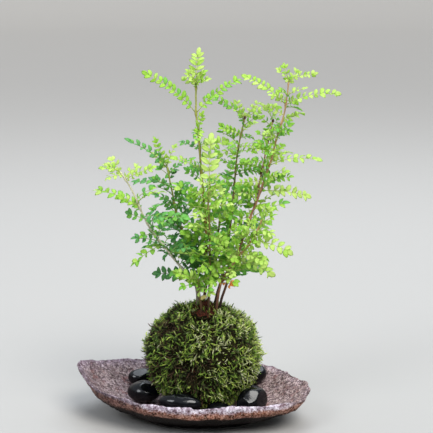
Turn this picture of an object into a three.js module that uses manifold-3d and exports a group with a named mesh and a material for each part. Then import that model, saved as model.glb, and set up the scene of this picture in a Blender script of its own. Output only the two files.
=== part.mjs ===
// A kokedama: a soil ball wrapped in moss, planted with a small shrub of pinnate leaves,
// standing among polished black pebbles in a hand-pinched stoneware dish.
// Millimetres, +Z up. The origin is the middle of the dish's foot, and -Y is the front.

import * as THREE from "three";
import { mergeVertices } from "three/addons/utils/BufferGeometryUtils.js";
import Module from "manifold-3d";

const wasm = await Module();
wasm.setup();

// Driving dimensions
// What rests or grows in another piece clears it by this much.
const SEAT_GAP = 0.3;
// A stem's hole in the soil clears the stem by a little more, because its sides are flats.
const HOLE_CLEARANCE = 0.46;
const BACK = new THREE.Vector3(0, 1, 0);
// The leaves turn their faces up and to the front, where the light came from as they grew.
const LIGHT = new THREE.Vector3(0, -0.8, 1);

// The dish. Shares are of the way from its middle to its rim.
const FLOOR_HEIGHT = 10.4;
const DISH_WALL = 5.6;
const FOOT_LIP = 7;
// The pinched edge is this deep at the front and back, and thins to a share of it at the two ends.
const EDGE_DROP = 8.5;
const EDGE_THIN_SHARE = 0.45;
const EDGE_START = 0.96;
const EDGE_CROWN = 0.8;
const FOOT_SHARE = 0.48;
const FLOOR_SHARE = 0.6;
const WALL_CURVE = 1.5;
const DISH_SIDES = 46;
// A flat facet of the dish's floor or wall stands at most this far inside its true curve.
const DISH_FACET_RISE = 0.65;
// The rim every 15 degrees, counter-clockwise from +X: how far out, and how high.
const RIM_RADIUS = [
  92, 86, 84, 81, 78, 76, 75, 78, 83, 90, 96, 102,
  100, 87, 78, 72, 66, 64, 63, 65, 69, 79, 91, 97,
];
const RIM_HEIGHT = [
  29.5, 29, 29, 29, 29, 29, 29, 29, 30, 32, 35.5, 41,
  41, 33, 31.5, 30.5, 29, 29, 28.5, 28.5, 28.5, 28, 27.5, 28.5,
];
// The uneven pinching round the rim, as waves: [share of the radius, waves round the dish, phase].
const RIM_PINCHES = [
  [0.012, 11, 1],
  [0.008, 17, 2],
];
// The section from under the middle, round the thick pinched edge, to the middle of the floor:
// [share of the way out, height above the inside, or null where the foot stands].
const DISH_SECTION = [
  [0, null],
  [FOOT_SHARE, null],
  [FOOT_SHARE + 0.03, -FOOT_LIP],
  [0.66, -DISH_WALL],
  [0.8, -DISH_WALL],
  [0.9, -DISH_WALL - 0.5],
  [0.965, -EDGE_DROP],
  [0.99, -0.6 * EDGE_DROP],
  [1, -2 * EDGE_CROWN],
  [0.98, 0.25 * EDGE_CROWN],
  [0.93, EDGE_CROWN],
  [0.85, 0],
  [0.77, 0],
  [0.69, 0],
  [FLOOR_SHARE, 0],
  [FLOOR_SHARE / 2, 0],
  [0, 0],
];

// The ball. A squareness under 1 makes it fuller than an ellipse.
const BALL_CENTRE = new THREE.Vector3(6, 0, 54);
const BALL_SQUARENESS = 0.88;
const BALL_SIDES = 34;
const BALL_FOOT_RADIUS = 15;
const MOSS_RADIUS = 46.5;
const MOSS_HALF_HEIGHT = 41.5;
const SOIL_RADIUS = 38.5;
const SOIL_HALF_HEIGHT = 35.5;
// Rings of facets, in degrees up from the ball's middle.
const MOSS_LATITUDES = [-66, -57, -48, -39, -30, -21, -12, -3, 6, 15, 24, 33, 42, 51, 59, 65];
const SOIL_LATITUDES = [-70, -48, -26, -4, 18, 38, 54, 63];
// The moss stops at a collar round the stems, where bare soil shows as a low mound.
const COLLAR_RADIUS = 17;
const MOSS_LIP = [
  [COLLAR_RADIUS + 3, 94.6],
  [COLLAR_RADIUS + 0.8, 94.2],
  [COLLAR_RADIUS - 0.4, 90.5],
];
const SOIL_MOUND = [
  [COLLAR_RADIUS - 1, 88.5],
  [11.5, 92.5],
  [5, 94.5],
  [0, 95.2],
];
// The moss stands out and sinks in as waves: [height, waves round the ball, turn for each millimetre up, phase].
const MOSS_LUMPS = [
  [1.1, 3, 0.07, 0],
  [0.8, 5, -0.11, 2],
];
// Its tufts are bumps two facets wide, in rows that slant round the ball.
const TUFT = { height: 1.5, lean: 1.7, rows: 0.9, slant: 4 };

// The stems: sides round them, and stretches for each point of their route.
const STEM_SIDES = 5;
const STEM_STEPS = 1.2;
// The leaves. The arch and the leaflet's size are shares of the leaf's length, kept between two lengths.
const BLADE_THICKNESS = 0.7;
const RIB_WIDTH = 1.2;
const LEAF_ARCH = 0.22;
const PAIR_SPACING = 12.5;
const LEAFLET_SHARE = 0.23;
const LEAFLET_LENGTHS = [5.6, 8.6];
// Half the width of a leaflet's root on the rib.
const LEAFLET_ROOT = 0.55;
const LEAFLET_SPREAD = THREE.MathUtils.degToRad(62);
const LEAFLET_FOLD = THREE.MathUtils.degToRad(12);
// The first pair sits at a share of the rib, and the others follow over another share.
const FIRST_PAIR = 0.3;
const PAIRS_SPAN = 0.63;
const ONLY_PAIR = 0.7;
// The first pair of a long leaf is smaller, and the others shrink a little towards its tip.
const FIRST_PAIR_SIZE = 0.82;
const PAIR_SHRINK = 0.1;
// The end leaflet starts this share of its length back from the leaf's tip.
const END_LEAFLET = 0.85;
// A leaflet's outline beyond its root, as shares of its length: how far out, and how far aside.
const LEAFLET_OUTLINE = [
  [0.6, 0.34],
  [1, 0],
  [0.6, -0.34],
];

// Pebbles round the ball: place on the dish, half sizes, then turn, lean and pitch in degrees.
const PEBBLE_FACETS = [11, 7];
const PEBBLE_SWELLING = 0.05;
const PEBBLES = [
  { name: "left", at: [-45, 6], half: [15, 11, 8.8], turn: -14, lean: 4, pitch: 0 },
  { name: "left_back", at: [-49, 42], half: [11.5, 9.5, 7], turn: 20, lean: 6, pitch: 0 },
  { name: "front_left", at: [-13.5, -47.4], half: [17.5, 8, 8.2], turn: -12, lean: 2, pitch: 0 },
  { name: "front", at: [18, -42.5], half: [10.5, 7.5, 6], turn: 4, lean: 4, pitch: 0 },
  { name: "front_right", at: [45.7, -30.2], half: [15.8, 9.3, 11.9], turn: 48, lean: -8, pitch: -16 },
  { name: "right", at: [48, 10], half: [11, 9, 6.5], turn: 75, lean: 0, pitch: 0 },
  { name: "right_back", at: [50, 40], half: [11.5, 9.5, 8], turn: 118, lean: -10, pitch: 0 },
  { name: "back_right", at: [22, 50], half: [13, 9.5, 7.5], turn: 165, lean: 5, pitch: 0 },
  { name: "back", at: [-12, 50], half: [14, 10, 7.5], turn: 4, lean: 4, pitch: 0 },
];

// The shrub. Each shoot is a woody stem through its route's points, root end first, and each leaf is
// [where it leaves the stem, counted in route points, then how far its tip reaches in X, Y and Z].
const SHOOTS = [
  {
    node: "leafy_stem_main",
    radius: [1.5, 0.7],
    route: [[7, 0, 74], [6, 0, 96], [8, 0, 118], [8, 0, 140], [8, 0, 160], [6, 0, 186], [4, 0, 212],
      [2, 0, 243], [0, 0, 257], [0, 0, 281]],
    leaves: [
      [9.0, 2, 9, 27],
      [8.9, -9, -5, 11],
      [8.9, 8, -6, 10],
      [8.0, -43, -5, 34],
      [8.0, 37, 12, 27],
      [7.0, -2, -28, -7],
      [6.8, 4, -9, 22],
      [6.5, 23, 26, 3],
      [5.9, -25, -9, 12],
      [4.3, -27, -9, 34],
      [5.1, 23, -16, 1],
      [3.6, -21, -24, 9],
      [3.2, 28, -18, 9],
      [3.8, 0, 34, 19],
      [3.0, -12, -25, -1],
    ],
  },
  {
    node: "leafy_stem_left",
    radius: [1.3, 0.65],
    route: [[4, -3, 76], [1, -4, 98], [-1, -7, 116], [-13, -11, 132], [-24, -14, 147], [-35, -16, 161],
      [-44, -18, 179], [-52, -19, 198], [-61, -20, 212]],
    leaves: [
      [8.0, -12, -3, 6],
      [7.5, 25, -9, 11],
      [6.2, -38, 8, 12],
      [6.4, 23, -14, 10],
      [5.5, 35, -24, 7],
      [4.3, -24, -9, -17],
      [3.7, 20, -20, 9],
      [4.9, -11, -10, 0],
      [4.6, 0, 26, 16],
      [2.7, -12, -6, -3],
    ],
  },
  {
    node: "leafy_stem_left_back",
    radius: [1.2, 0.65],
    route: [[4, 5, 76], [3, 6, 97], [-2, 14, 123], [-11, 20, 152], [-17, 24, 170], [-21, 27, 189],
      [-25, 30, 209]],
    leaves: [
      [6.0, -11, 4, 24],
      [5.9, -35, -8, 25],
      [5.7, 23, 8, 11],
      [5.2, -33, 10, 0],
      [4.4, -17, 14, -6],
      [3.3, -19, 16, -2],
      [4.1, 10, 28, 15],
      [2.6, -21, 18, -13],
    ],
  },
  {
    node: "leafy_stem_front",
    radius: [1.2, 0.7],
    route: [[9, -7, 77], [10, -9, 98], [11, -15, 130], [11, -18, 164], [10, -18, 185], [11, -17, 201]],
    leaves: [
      [5.0, 2, 10, 40],
      [4.9, 10, -9, 10],
      [4.9, -10, -8, 6],
      [3.8, 20, -12, 5],
      [2.9, -16, -16, 9],
      [2.5, 23, -16, -7],
    ],
  },
  {
    node: "leafy_stem_middle",
    radius: [1.2, 0.65],
    route: [[12, 6, 76], [15, 8, 96], [23, 16, 127], [29, 22, 165], [32, 25, 200], [35, 26, 226],
      [40, 26, 250]],
    leaves: [
      [6.0, -34, -5, 19],
      [6.0, 30, -4, 9],
      [5.4, -18, -11, 7],
      [5.0, -17, -8, -8],
      [5.0, 19, -10, 0],
      [4.2, 18, -9, 11],
      [5.5, 14, 15, 6],
      [3.8, -17, 12, -7],
      [3.5, 15, 22, 7],
    ],
  },
  {
    node: "leafy_stem_right",
    radius: [1.35, 0.65],
    route: [[16, -1, 78], [20, -1, 99], [24, 0, 112], [34, 2, 139], [43, 3, 166], [53, 2, 193], [57, 1, 206],
      [61, 0, 218], [65, 0, 234], [72, 0, 259], [75, 0, 283]],
    leaves: [
      [10.0, 23, -4, 6],
      [10.0, -4, 4, 14],
      [9.2, 44, -6, 9],
      [9.2, -35, 12, 22],
      [8.6, 20, 17, 6],
      [8.1, -12, -12, 5],
      [7.1, 18, 14, 3],
      [6.7, 42, -8, 5],
      [5.3, 21, -13, 13],
      [5.0, 41, 8, -7],
      [4.1, 32, -4, 15],
      [3.7, -16, -9, 15],
      [3.1, 25, 12, -11],
    ],
  },
  {
    node: "leafy_stem_right",
    radius: [1.1, 0.7],
    route: [[43, 3, 166], [48, 6, 180], [54, 10, 208], [59, 12, 232], [63, 13, 249]],
    leaves: [
      [4.0, -12, -3, 15],
      [3.0, -11, -8, 9],
      [2.1, -17, -2, 3],
      [1.5, -12, -10, 5],
      [3.5, 13, 16, -5],
    ],
  },
  {
    node: "leafy_stem_right_low",
    radius: [1.2, 0.6],
    route: [[15, -6, 78], [17, -8, 99], [21, -13, 120], [32, -19, 139], [47, -24, 159], [53, -26, 174]],
    leaves: [
      [5.0, 10, -4, 11],
      [4.4, 13, -9, -3],
      [3.9, 32, -4, -11],
      [3.3, 21, -13, -6],
      [3.0, 31, -6, -12],
      [3.9, -17, -14, 11],
      [2.2, 11, -12, -5],
      [2.2, -11, -12, -5],
    ],
  },
  {
    node: "leafy_stem_back",
    radius: [1.3, 0.7],
    route: [[9, 10, 77], [10, 13, 99], [14, 28, 125], [19, 38, 157], [23, 44, 187]],
    leaves: [
      [4.0, 10, 14, 24],
      [3.6, -19, 16, 9],
      [3.1, 22, 26, 4],
      [2.6, -19, 28, 0],
      [2.3, 18, 26, 2],
    ],
  },
  {
    node: "leafy_stem_low",
    radius: [1.1, 0.6],
    route: [[5, -8, 77], [4, -10, 98], [2, -15, 112], [1, -19, 124]],
    leaves: [
      [3.0, 8, -13, 12],
      [2.8, -19, -6, 9],
      [2.0, 13, -9, 0],
    ],
  },
];

const COLOURS = {
  dish: { color: 0x6f5a58, roughness: 0.95 },
  soil: { color: 0x3b2a20, roughness: 1 },
  moss: { color: 0x55702a, roughness: 1 },
  pebble: { color: 0x14171a, roughness: 0.18 },
  leaf: { color: 0x86bd42, roughness: 0.55 },
};

// Solids from closed geometries

function solidOf(geometry) {
  const bare = geometry.clone();
  bare.deleteAttribute("normal");
  bare.deleteAttribute("uv");
  const merged = mergeVertices(bare, 1e-4);
  return new wasm.Manifold(
    new wasm.Mesh({
      numProp: 3,
      vertProperties: new Float32Array(merged.attributes.position.array),
      triVerts: new Uint32Array(merged.index.array),
    }),
  );
}

function geometryOf(solid) {
  const mesh = solid.getMesh();
  const geometry = new THREE.BufferGeometry();
  geometry.setAttribute("position", new THREE.BufferAttribute(mesh.vertProperties, 3));
  geometry.setIndex(new THREE.BufferAttribute(mesh.triVerts, 1));
  geometry.computeVertexNormals();
  return geometry;
}

function moveVertices(geometry, move) {
  const position = geometry.attributes.position;
  const vertex = new THREE.Vector3();
  for (let i = 0; i < position.count; i++) {
    vertex.fromBufferAttribute(position, i);
    move(vertex);
    position.setXYZ(i, vertex.x, vertex.y, vertex.z);
  }
  return geometry;
}

// LatheGeometry turns about Y, so its result is stood up on Z.
function turned(profile, sides) {
  const points = profile.map(([radius, height]) => new THREE.Vector2(radius, height));
  return new THREE.LatheGeometry(points, sides).rotateX(Math.PI / 2);
}

function part(name, geometry, look) {
  const mesh = new THREE.Mesh(geometry, new THREE.MeshStandardMaterial(COLOURS[look]));
  mesh.name = name;
  return mesh;
}

// The dish

// A smooth value between the rim's stated directions.
function aroundRim(values, angle) {
  const turns = THREE.MathUtils.euclideanModulo(angle / (2 * Math.PI), 1) * values.length;
  const before = Math.floor(turns);
  const count = values.length;
  const [v0, v1, v2, v3] = [-1, 0, 1, 2].map((step) => values[(before + step + count) % count]);
  const w = turns - before;
  return v1 + 0.5 * w * (v2 - v0 + w * (2 * v0 - 5 * v1 + 4 * v2 - v3 + w * (3 * (v1 - v2) + v3 - v0)));
}

// How far out the rim is, with the unevenness that pinching left.
function rimReach(angle) {
  const pinches = RIM_PINCHES.map(([share, waves, phase]) => share * Math.sin(waves * angle + phase));
  return aroundRim(RIM_RADIUS, angle) * pinches.reduce((sum, pinch) => sum + pinch, 1);
}

// Height of the dish's inside, at a share of the way from its middle to its rim.
function insideHeight(share, angle) {
  const climb = Math.max(0, (share - FLOOR_SHARE) / (1 - FLOOR_SHARE));
  return FLOOR_HEIGHT + (aroundRim(RIM_HEIGHT, angle) - FLOOR_HEIGHT) * climb ** WALL_CURVE;
}

// How deep the section is in a direction, as a share of what it states.
function depthShare(share, lift, angle) {
  return share > EDGE_START && lift < 0 ? THREE.MathUtils.lerp(EDGE_THIN_SHARE, 1, Math.sin(angle) ** 2) : 1;
}

// The section is turned as a plain stack of rings, and each ring then goes to its place.
function dishGeometry() {
  const stack = DISH_SECTION.map(([share], step) => [share, step]);
  return moveVertices(turned(stack, DISH_SIDES), (vertex) => {
    const angle = Math.atan2(vertex.y, vertex.x);
    const [share, lift] = DISH_SECTION[Math.round(vertex.z)];
    const radius = share * rimReach(angle);
    const height = lift === null ? 0 : insideHeight(share, angle) + lift * depthShare(share, lift, angle);
    vertex.set(radius * Math.cos(angle), radius * Math.sin(angle), height);
  });
}

// The ball

function ballPoint(radius, halfHeight, degrees) {
  const angle = THREE.MathUtils.degToRad(degrees);
  const out = Math.cos(angle) ** BALL_SQUARENESS;
  const up = Math.sign(angle) * Math.abs(Math.sin(angle)) ** BALL_SQUARENESS;
  return [radius * out, BALL_CENTRE.z + halfHeight * up];
}

// The soil, with a plain hole for each stem that is rooted in it.
function soilSolid() {
  const flesh = SOIL_LATITUDES.map((degrees) => ballPoint(SOIL_RADIUS, SOIL_HALF_HEIGHT, degrees));
  const bottom = [0, BALL_CENTRE.z - SOIL_HALF_HEIGHT];
  const soil = turned([bottom, ...flesh, ...SOIL_MOUND], BALL_SIDES);
  soil.translate(BALL_CENTRE.x, BALL_CENTRE.y, 0);
  const soilTop = SOIL_MOUND.at(-1)[1];
  const rooted = SHOOTS.filter(({ route }) => route[0][2] < soilTop);
  const holes = rooted.map((shoot) => solidOf(stemGeometry(shoot, HOLE_CLEARANCE)));
  return holes.reduce((left, hole) => left.subtract(hole), solidOf(soil));
}

// How far the moss stands out or sinks in, at a longitude and height on the ball.
function mossRelief(longitude, height) {
  const lumpAt = ([rise, waves, twist, phase]) => rise * Math.sin(waves * longitude + twist * height + phase);
  const lumps = MOSS_LUMPS.reduce((sum, lump) => sum + lumpAt(lump), 0);
  const across = Math.sin(0.5 * BALL_SIDES * longitude + TUFT.lean * height);
  const up = Math.sin(TUFT.rows * height + TUFT.slant * longitude);
  return lumps + TUFT.height * across * up;
}

function mossGeometry() {
  const outside = MOSS_LATITUDES.map((degrees) => ballPoint(MOSS_RADIUS, MOSS_HALF_HEIGHT, degrees));
  const inside = SOIL_LATITUDES.map((degrees) =>
    ballPoint(SOIL_RADIUS + SEAT_GAP, SOIL_HALF_HEIGHT + SEAT_GAP, degrees),
  ).reverse();
  const restHeight = FLOOR_HEIGHT + SEAT_GAP;
  const foot = [[0, restHeight], [BALL_FOOT_RADIUS, restHeight]];
  const inner = [0, BALL_CENTRE.z - SOIL_HALF_HEIGHT - SEAT_GAP];
  const profile = [...foot, ...outside, ...MOSS_LIP, ...inside, inner];
  const lastFringe = foot.length + outside.length;
  let index = 0;
  return moveVertices(turned(profile, BALL_SIDES), (vertex) => {
    const ring = index++ % profile.length;
    if (ring >= foot.length && ring <= lastFringe) {
      const out = vertex.clone().setZ(vertex.z - BALL_CENTRE.z);
      const relief = mossRelief(Math.atan2(vertex.y, vertex.x), vertex.z);
      vertex.addScaledVector(out.normalize(), relief);
      vertex.z = Math.max(vertex.z, restHeight);
    }
    vertex.add(new THREE.Vector3(BALL_CENTRE.x, BALL_CENTRE.y, 0));
  });
}

// The pebbles

// A worn stone: a ball drawn out to its half sizes, with two broad swellings round it.
function pebbleMesh({ name, at, half, turn, lean, pitch }) {
  const geometry = new THREE.SphereGeometry(1, ...PEBBLE_FACETS);
  moveVertices(geometry, (vertex) => {
    const swelling = 1 + PEBBLE_SWELLING * Math.sin(2 * Math.atan2(vertex.z, vertex.x) + turn);
    vertex.multiplyScalar(swelling);
    vertex.set(vertex.x * half[0], vertex.z * half[1], -vertex.y * half[2]);
  });
  const mesh = part("pebble_" + name, geometry, "pebble");
  mesh.rotation.order = "ZYX";
  mesh.rotation.set(...[lean, pitch, turn].map(THREE.MathUtils.degToRad));
  mesh.position.set(at[0], at[1], 0);
  mesh.updateMatrixWorld(true);
  mesh.position.z = restingHeight(mesh);
  return mesh;
}

// How high a pebble's middle lies when it just clears the dish.
function restingHeight(mesh) {
  const placed = mesh.geometry.clone().applyMatrix4(mesh.matrixWorld);
  let height = 0;
  moveVertices(placed, ({ x, y, z }) => {
    const angle = Math.atan2(y, x);
    const share = Math.hypot(x, y) / rimReach(angle);
    height = Math.max(height, insideHeight(share, angle) + SEAT_GAP - z);
  });
  return height + DISH_FACET_RISE;
}

// The shrub

function curveOf({ route }) {
  const points = route.map((point) => new THREE.Vector3(...point));
  return new THREE.CatmullRomCurve3(points, false, "catmullrom", 0.5);
}

// A cylinder whose rings are set square to the stem's curve and shrink towards its tip.
function stemGeometry({ route, radius }, extra = 0) {
  const curve = curveOf({ route });
  const geometry = new THREE.CylinderGeometry(1, 1, 1, STEM_SIDES, Math.round(STEM_STEPS * route.length));
  return moveVertices(geometry, (vertex) => {
    const along = THREE.MathUtils.clamp(vertex.y + 0.5, 0, 1);
    const tangent = curve.getTangent(along);
    const across = new THREE.Vector3().crossVectors(BACK, tangent).normalize();
    const behind = new THREE.Vector3().crossVectors(across, tangent);
    const thickness = THREE.MathUtils.lerp(radius[0], radius[1], along) + extra;
    const { x, z } = vertex;
    vertex.copy(curve.getPoint(along)).addScaledVector(tangent, extra * (2 * along - 1));
    vertex.addScaledVector(across, x * thickness).addScaledVector(behind, z * thickness);
  });
}

// One pinnate leaf as a thin arched blade, cut to its rib between the leaflets.
function leafGeometry(shoot, [station, reachX, reachY, reachZ]) {
  const base = curveOf(shoot).getPoint(station / (shoot.route.length - 1));
  const reach = new THREE.Vector3(reachX, reachY, reachZ);
  const length = reach.length();
  const side = new THREE.Vector3().crossVectors(reach, LIGHT).normalize();
  const crown = new THREE.Vector3().crossVectors(side, reach).normalize();
  const tip = base.clone().add(reach);
  const bend = base.clone().lerp(tip, 0.5).addScaledVector(crown, LEAF_ARCH * length);
  const rachis = new THREE.QuadraticBezierCurve3(base, bend, tip);
  const pairs = Math.max(1, Math.round(length / PAIR_SPACING));
  const leaflet = THREE.MathUtils.clamp(LEAFLET_SHARE * length, ...LEAFLET_LENGTHS);
  const ribEnd = 1 - (END_LEAFLET * leaflet) / length;

  const tops = [];
  const bottoms = [];
  const faces = [];
  function addPoint(share, along, out, fold) {
    const tangent = rachis.getTangent(share);
    const normal = new THREE.Vector3().crossVectors(side, tangent);
    const point = rachis.getPoint(share).addScaledVector(tangent, along);
    point.addScaledVector(side, out * Math.cos(fold)).addScaledVector(normal, Math.abs(out) * Math.sin(fold));
    tops.push(point.clone().addScaledVector(normal, BLADE_THICKNESS / 2));
    bottoms.push(point.addScaledVector(normal, -BLADE_THICKNESS / 2));
    return tops.length - 1;
  }
  const ribPair = (share, along) => [-1, 1].map((hand) => addPoint(share, along, (hand * RIB_WIDTH) / 2, 0));

  // The blade of a leaflet between two points of the rib's edge, first to last counter-clockwise.
  function addLeaflet(share, size, heading, first, last) {
    const points = LEAFLET_OUTLINE.map(([far, aside]) => {
      const along = size * (far * Math.cos(heading) - aside * Math.sin(heading));
      const out = size * (far * Math.sin(heading) + aside * Math.cos(heading));
      return addPoint(share, along, out, LEAFLET_FOLD);
    });
    const ring = [...points, last];
    ring.slice(1).forEach((corner, i) => faces.push([first, ring[i], corner]));
  }

  let [left, right] = ribPair(0, 0);
  for (let pair = 0; pair < pairs; pair++) {
    const share = ribEnd * (pairs > 1 ? FIRST_PAIR + (PAIRS_SPAN * pair) / (pairs - 1) : ONLY_PAIR);
    const size = leaflet * (pair === 0 && pairs > 2 ? FIRST_PAIR_SIZE : 1 - (PAIR_SHRINK * pair) / pairs);
    const [leftStart, rightStart] = ribPair(share, -LEAFLET_ROOT);
    const [leftEnd, rightEnd] = ribPair(share, LEAFLET_ROOT);
    faces.push([left, right, rightStart], [left, rightStart, leftStart]);
    faces.push([leftStart, rightStart, rightEnd], [leftStart, rightEnd, leftEnd]);
    addLeaflet(share, size, LEAFLET_SPREAD, rightStart, rightEnd);
    addLeaflet(share, size, -LEAFLET_SPREAD, leftEnd, leftStart);
    [left, right] = [leftEnd, rightEnd];
  }
  const [leftTip, rightTip] = ribPair(ribEnd, 0);
  faces.push([left, right, rightTip], [left, rightTip, leftTip]);
  addLeaflet(ribEnd, leaflet, 0, rightTip, leftTip);

  return thickened(tops, bottoms, faces);
}

// Joins a sheet's two faces along its open edges.
function thickened(tops, bottoms, faces) {
  const open = new Map();
  for (const [a, b, c] of faces)
    for (const [from, to] of [[a, b], [b, c], [c, a]])
      if (!open.delete(to + "," + from)) open.set(from + "," + to, [from, to]);
  const under = tops.length;
  const index = [];
  for (const [a, b, c] of faces) index.push(a, b, c, under + a, under + c, under + b);
  for (const [from, to] of open.values()) index.push(to, from, under + from, to, under + from, under + to);
  const geometry = new THREE.BufferGeometry().setFromPoints([...tops, ...bottoms]);
  return geometry.setIndex(index);
}

function leafyStem(node) {
  const solids = SHOOTS.filter((shoot) => shoot.node === node).flatMap((shoot) => [
    solidOf(stemGeometry(shoot)),
    ...shoot.leaves.map((leaf) => solidOf(leafGeometry(shoot, leaf))),
  ]);
  return part(node, geometryOf(solids.reduce((all, one) => all.add(one))), "leaf");
}

// The whole kokedama

const kokedama = new THREE.Group();
kokedama.add(part("dish", dishGeometry(), "dish"));
kokedama.add(part("soil_ball", geometryOf(soilSolid()), "soil"));
kokedama.add(part("moss_skin", mossGeometry(), "moss"));
PEBBLES.forEach((pebble) => kokedama.add(pebbleMesh(pebble)));
new Set(SHOOTS.map(({ node }) => node)).forEach((node) => kokedama.add(leafyStem(node)));

export default kokedama;
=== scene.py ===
# %% [markdown]
# # Dressing a kokedama
# A kokedama is a ball of soil wrapped in living moss, with a small plant growing out of its top. This one
# stands in a hand-pinched stoneware dish, among polished black pebbles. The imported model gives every
# piece as a plain faceted solid at its real size. This lesson loads those solids as a fixed frame and
# gives each of them the fine surface of the real thing: rough fired clay, worn stone, crumbly soil,
# shaggy moss, bark and veined leaves.

# %% Load the frame
import math
import random

import bmesh
import bpy
from mathutils import Matrix, Vector, noise
from mathutils.bvhtree import BVHTree


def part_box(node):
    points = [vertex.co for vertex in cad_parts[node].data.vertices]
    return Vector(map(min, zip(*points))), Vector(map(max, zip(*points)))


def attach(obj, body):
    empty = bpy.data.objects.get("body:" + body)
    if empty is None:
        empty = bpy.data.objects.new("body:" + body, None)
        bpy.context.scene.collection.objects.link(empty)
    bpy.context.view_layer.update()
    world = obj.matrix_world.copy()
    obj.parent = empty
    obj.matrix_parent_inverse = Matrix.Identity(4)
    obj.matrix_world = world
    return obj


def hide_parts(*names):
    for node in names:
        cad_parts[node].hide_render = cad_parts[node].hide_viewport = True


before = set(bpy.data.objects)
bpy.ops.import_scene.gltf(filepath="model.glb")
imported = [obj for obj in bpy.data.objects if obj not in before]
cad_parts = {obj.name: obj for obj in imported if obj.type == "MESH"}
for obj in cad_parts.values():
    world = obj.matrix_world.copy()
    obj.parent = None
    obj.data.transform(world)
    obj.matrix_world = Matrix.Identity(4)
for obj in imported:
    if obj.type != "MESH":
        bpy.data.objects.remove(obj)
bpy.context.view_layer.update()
MM = 0.001
print("solids in the frame:", len(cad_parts))

# %% [markdown]
# ## The camera
# The plant was seen from its front and a little above, from about a metre away with a long lens. The
# camera comes first. A lens is easiest to place by what it looks at: a target point, a distance and an
# angle above the horizon.

# %% Place the camera
CAMERA_TARGET = Vector((16.6, 0, 171.8)) * MM
CAMERA_DISTANCE = 1.1
CAMERA_ELEVATION = math.radians(10.5)
CAMERA_LENS = 111.08
SENSOR_WIDTH = 36


def place_camera():
    """The photograph's view: straight at the front, from a little above."""
    camera = bpy.data.objects.new("camera", bpy.data.cameras.new("camera"))
    bpy.context.scene.collection.objects.link(camera)
    back = Vector((0, -math.cos(CAMERA_ELEVATION), math.sin(CAMERA_ELEVATION)))
    camera.location = CAMERA_TARGET + CAMERA_DISTANCE * back
    camera.rotation_euler = (-back).to_track_quat("-Z", "Y").to_euler()
    camera.data.lens = CAMERA_LENS
    camera.data.sensor_width = SENSOR_WIDTH
    bpy.context.scene.camera = camera
    return camera


print("camera at", [round(x, 3) for x in place_camera().location])

# %% [markdown]
# ## Building materials with nodes
# Every finish here is a small network of nodes, and a few helpers keep the networks short to write. The
# patterns read Object coordinates, so they keep their size on every piece. The coordinates are turned
# into millimetres once, so that a noise with a scale of 0.5 has features about 2 mm across. Colours are
# written as they look on a screen, from 0 to 255, and turned into the linear values that the renderer
# works in.

# %% Material helpers


def colour(red, green, blue):
    """A screen colour, 0 to 255 for each part, as the renderer's linear colour."""
    parts = [value / 255 for value in (red, green, blue)]
    linear = [part / 12.92 if part <= 0.04045 else ((part + 0.055) / 1.055) ** 2.4 for part in parts]
    return (*linear, 1)


def new_material(name):
    material = bpy.data.materials.new(name)
    material.use_nodes = True
    material.node_tree.nodes.clear()
    return material


def shader(material, kind, sockets=None, **settings):
    """Adds a node. Each socket gets a value, or a link where the value is another node's output."""
    made = material.node_tree.nodes.new("ShaderNode" + kind)
    for name, value in settings.items():
        setattr(made, name, value)
    for name, value in (sockets or {}).items():
        if isinstance(value, bpy.types.NodeSocket):
            material.node_tree.links.new(value, made.inputs[name])
        else:
            made.inputs[name].default_value = value
    return made


def millimetres(material, stretch=(1, 1, 1)):
    """Object coordinates in millimetres."""
    place = shader(material, "TexCoord").outputs["Object"]
    scale = [1 / MM * share for share in stretch]
    return shader(material, "Mapping", {"Vector": place, "Scale": scale}).outputs["Vector"]


def cloud(material, place, size, detail=3, roughness=0.55):
    """Soft noise with features of the given size in millimetres."""
    sockets = {"Vector": place, "Scale": 1 / size, "Detail": detail, "Roughness": roughness}
    return shader(material, "TexNoise", sockets).outputs["Fac"]


def paint(value):
    """The renderer's colour for a screen colour or a grey level."""
    return colour(*value) if isinstance(value, tuple) else (value, value, value, 1)


def ramp(material, factor, *stops):
    """Screen colours or grey levels at stated places along a factor."""
    made = shader(material, "ValToRGB", {"Fac": factor})
    elements = made.color_ramp.elements
    while len(elements) < len(stops):
        elements.new(1)
    for element, (position, value) in zip(elements, stops):
        element.position = position
        element.color = paint(value)
    return made.outputs["Color"]


def mix(material, factor, first, second, blend="MIX"):
    """Mixes two colours, each a screen colour, a grey level or another node's output."""
    made = shader(material, "Mix", data_type="RGBA", blend_type=blend)
    factor_socket, *_, first_socket, second_socket = made.inputs[:8]
    for socket, value in ((factor_socket, factor), (first_socket, first), (second_socket, second)):
        if isinstance(value, bpy.types.NodeSocket):
            material.node_tree.links.new(value, socket)
        else:
            socket.default_value = value if socket is factor_socket else paint(value)
    return made.outputs[2]


def value_of(material, name):
    """A named attribute that the mesh carries, from 0 to 1."""
    return shader(material, "Attribute", attribute_name=name).outputs["Fac"]


def wave_between(material, value, low, high):
    """0 below low and 1 above high."""
    return shader(material, "MapRange", {"Value": value, "From Min": low, "From Max": high}).outputs["Result"]


def calculate(material, operation, *values):
    """A Math node on numbers or other nodes' outputs."""
    return shader(material, "Math", dict(enumerate(values)), operation=operation).outputs[0]


def bump(material, height, depth, normal=None):
    """Relief finer than the mesh, with a depth in millimetres."""
    sockets = {"Height": height, "Distance": depth * MM, "Strength": 1.0}
    if normal:
        sockets["Normal"] = normal
    return shader(material, "Bump", sockets).outputs["Normal"]


def surface(material, **sockets):
    """The Principled shader. Underscores in a name stand for spaces."""
    spaced = {name.replace("_", " "): value for name, value in sockets.items()}
    return shader(material, "BsdfPrincipled", spaced).outputs["BSDF"]


def let_light_through(material, face, tone, share):
    """Mixes a face with the light that comes through it from behind."""
    glow = shader(material, "BsdfTranslucent", {"Color": tone}).outputs["BSDF"]
    return shader(material, "MixShader", {0: share, 1: face, 2: glow}).outputs["Shader"]


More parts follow.
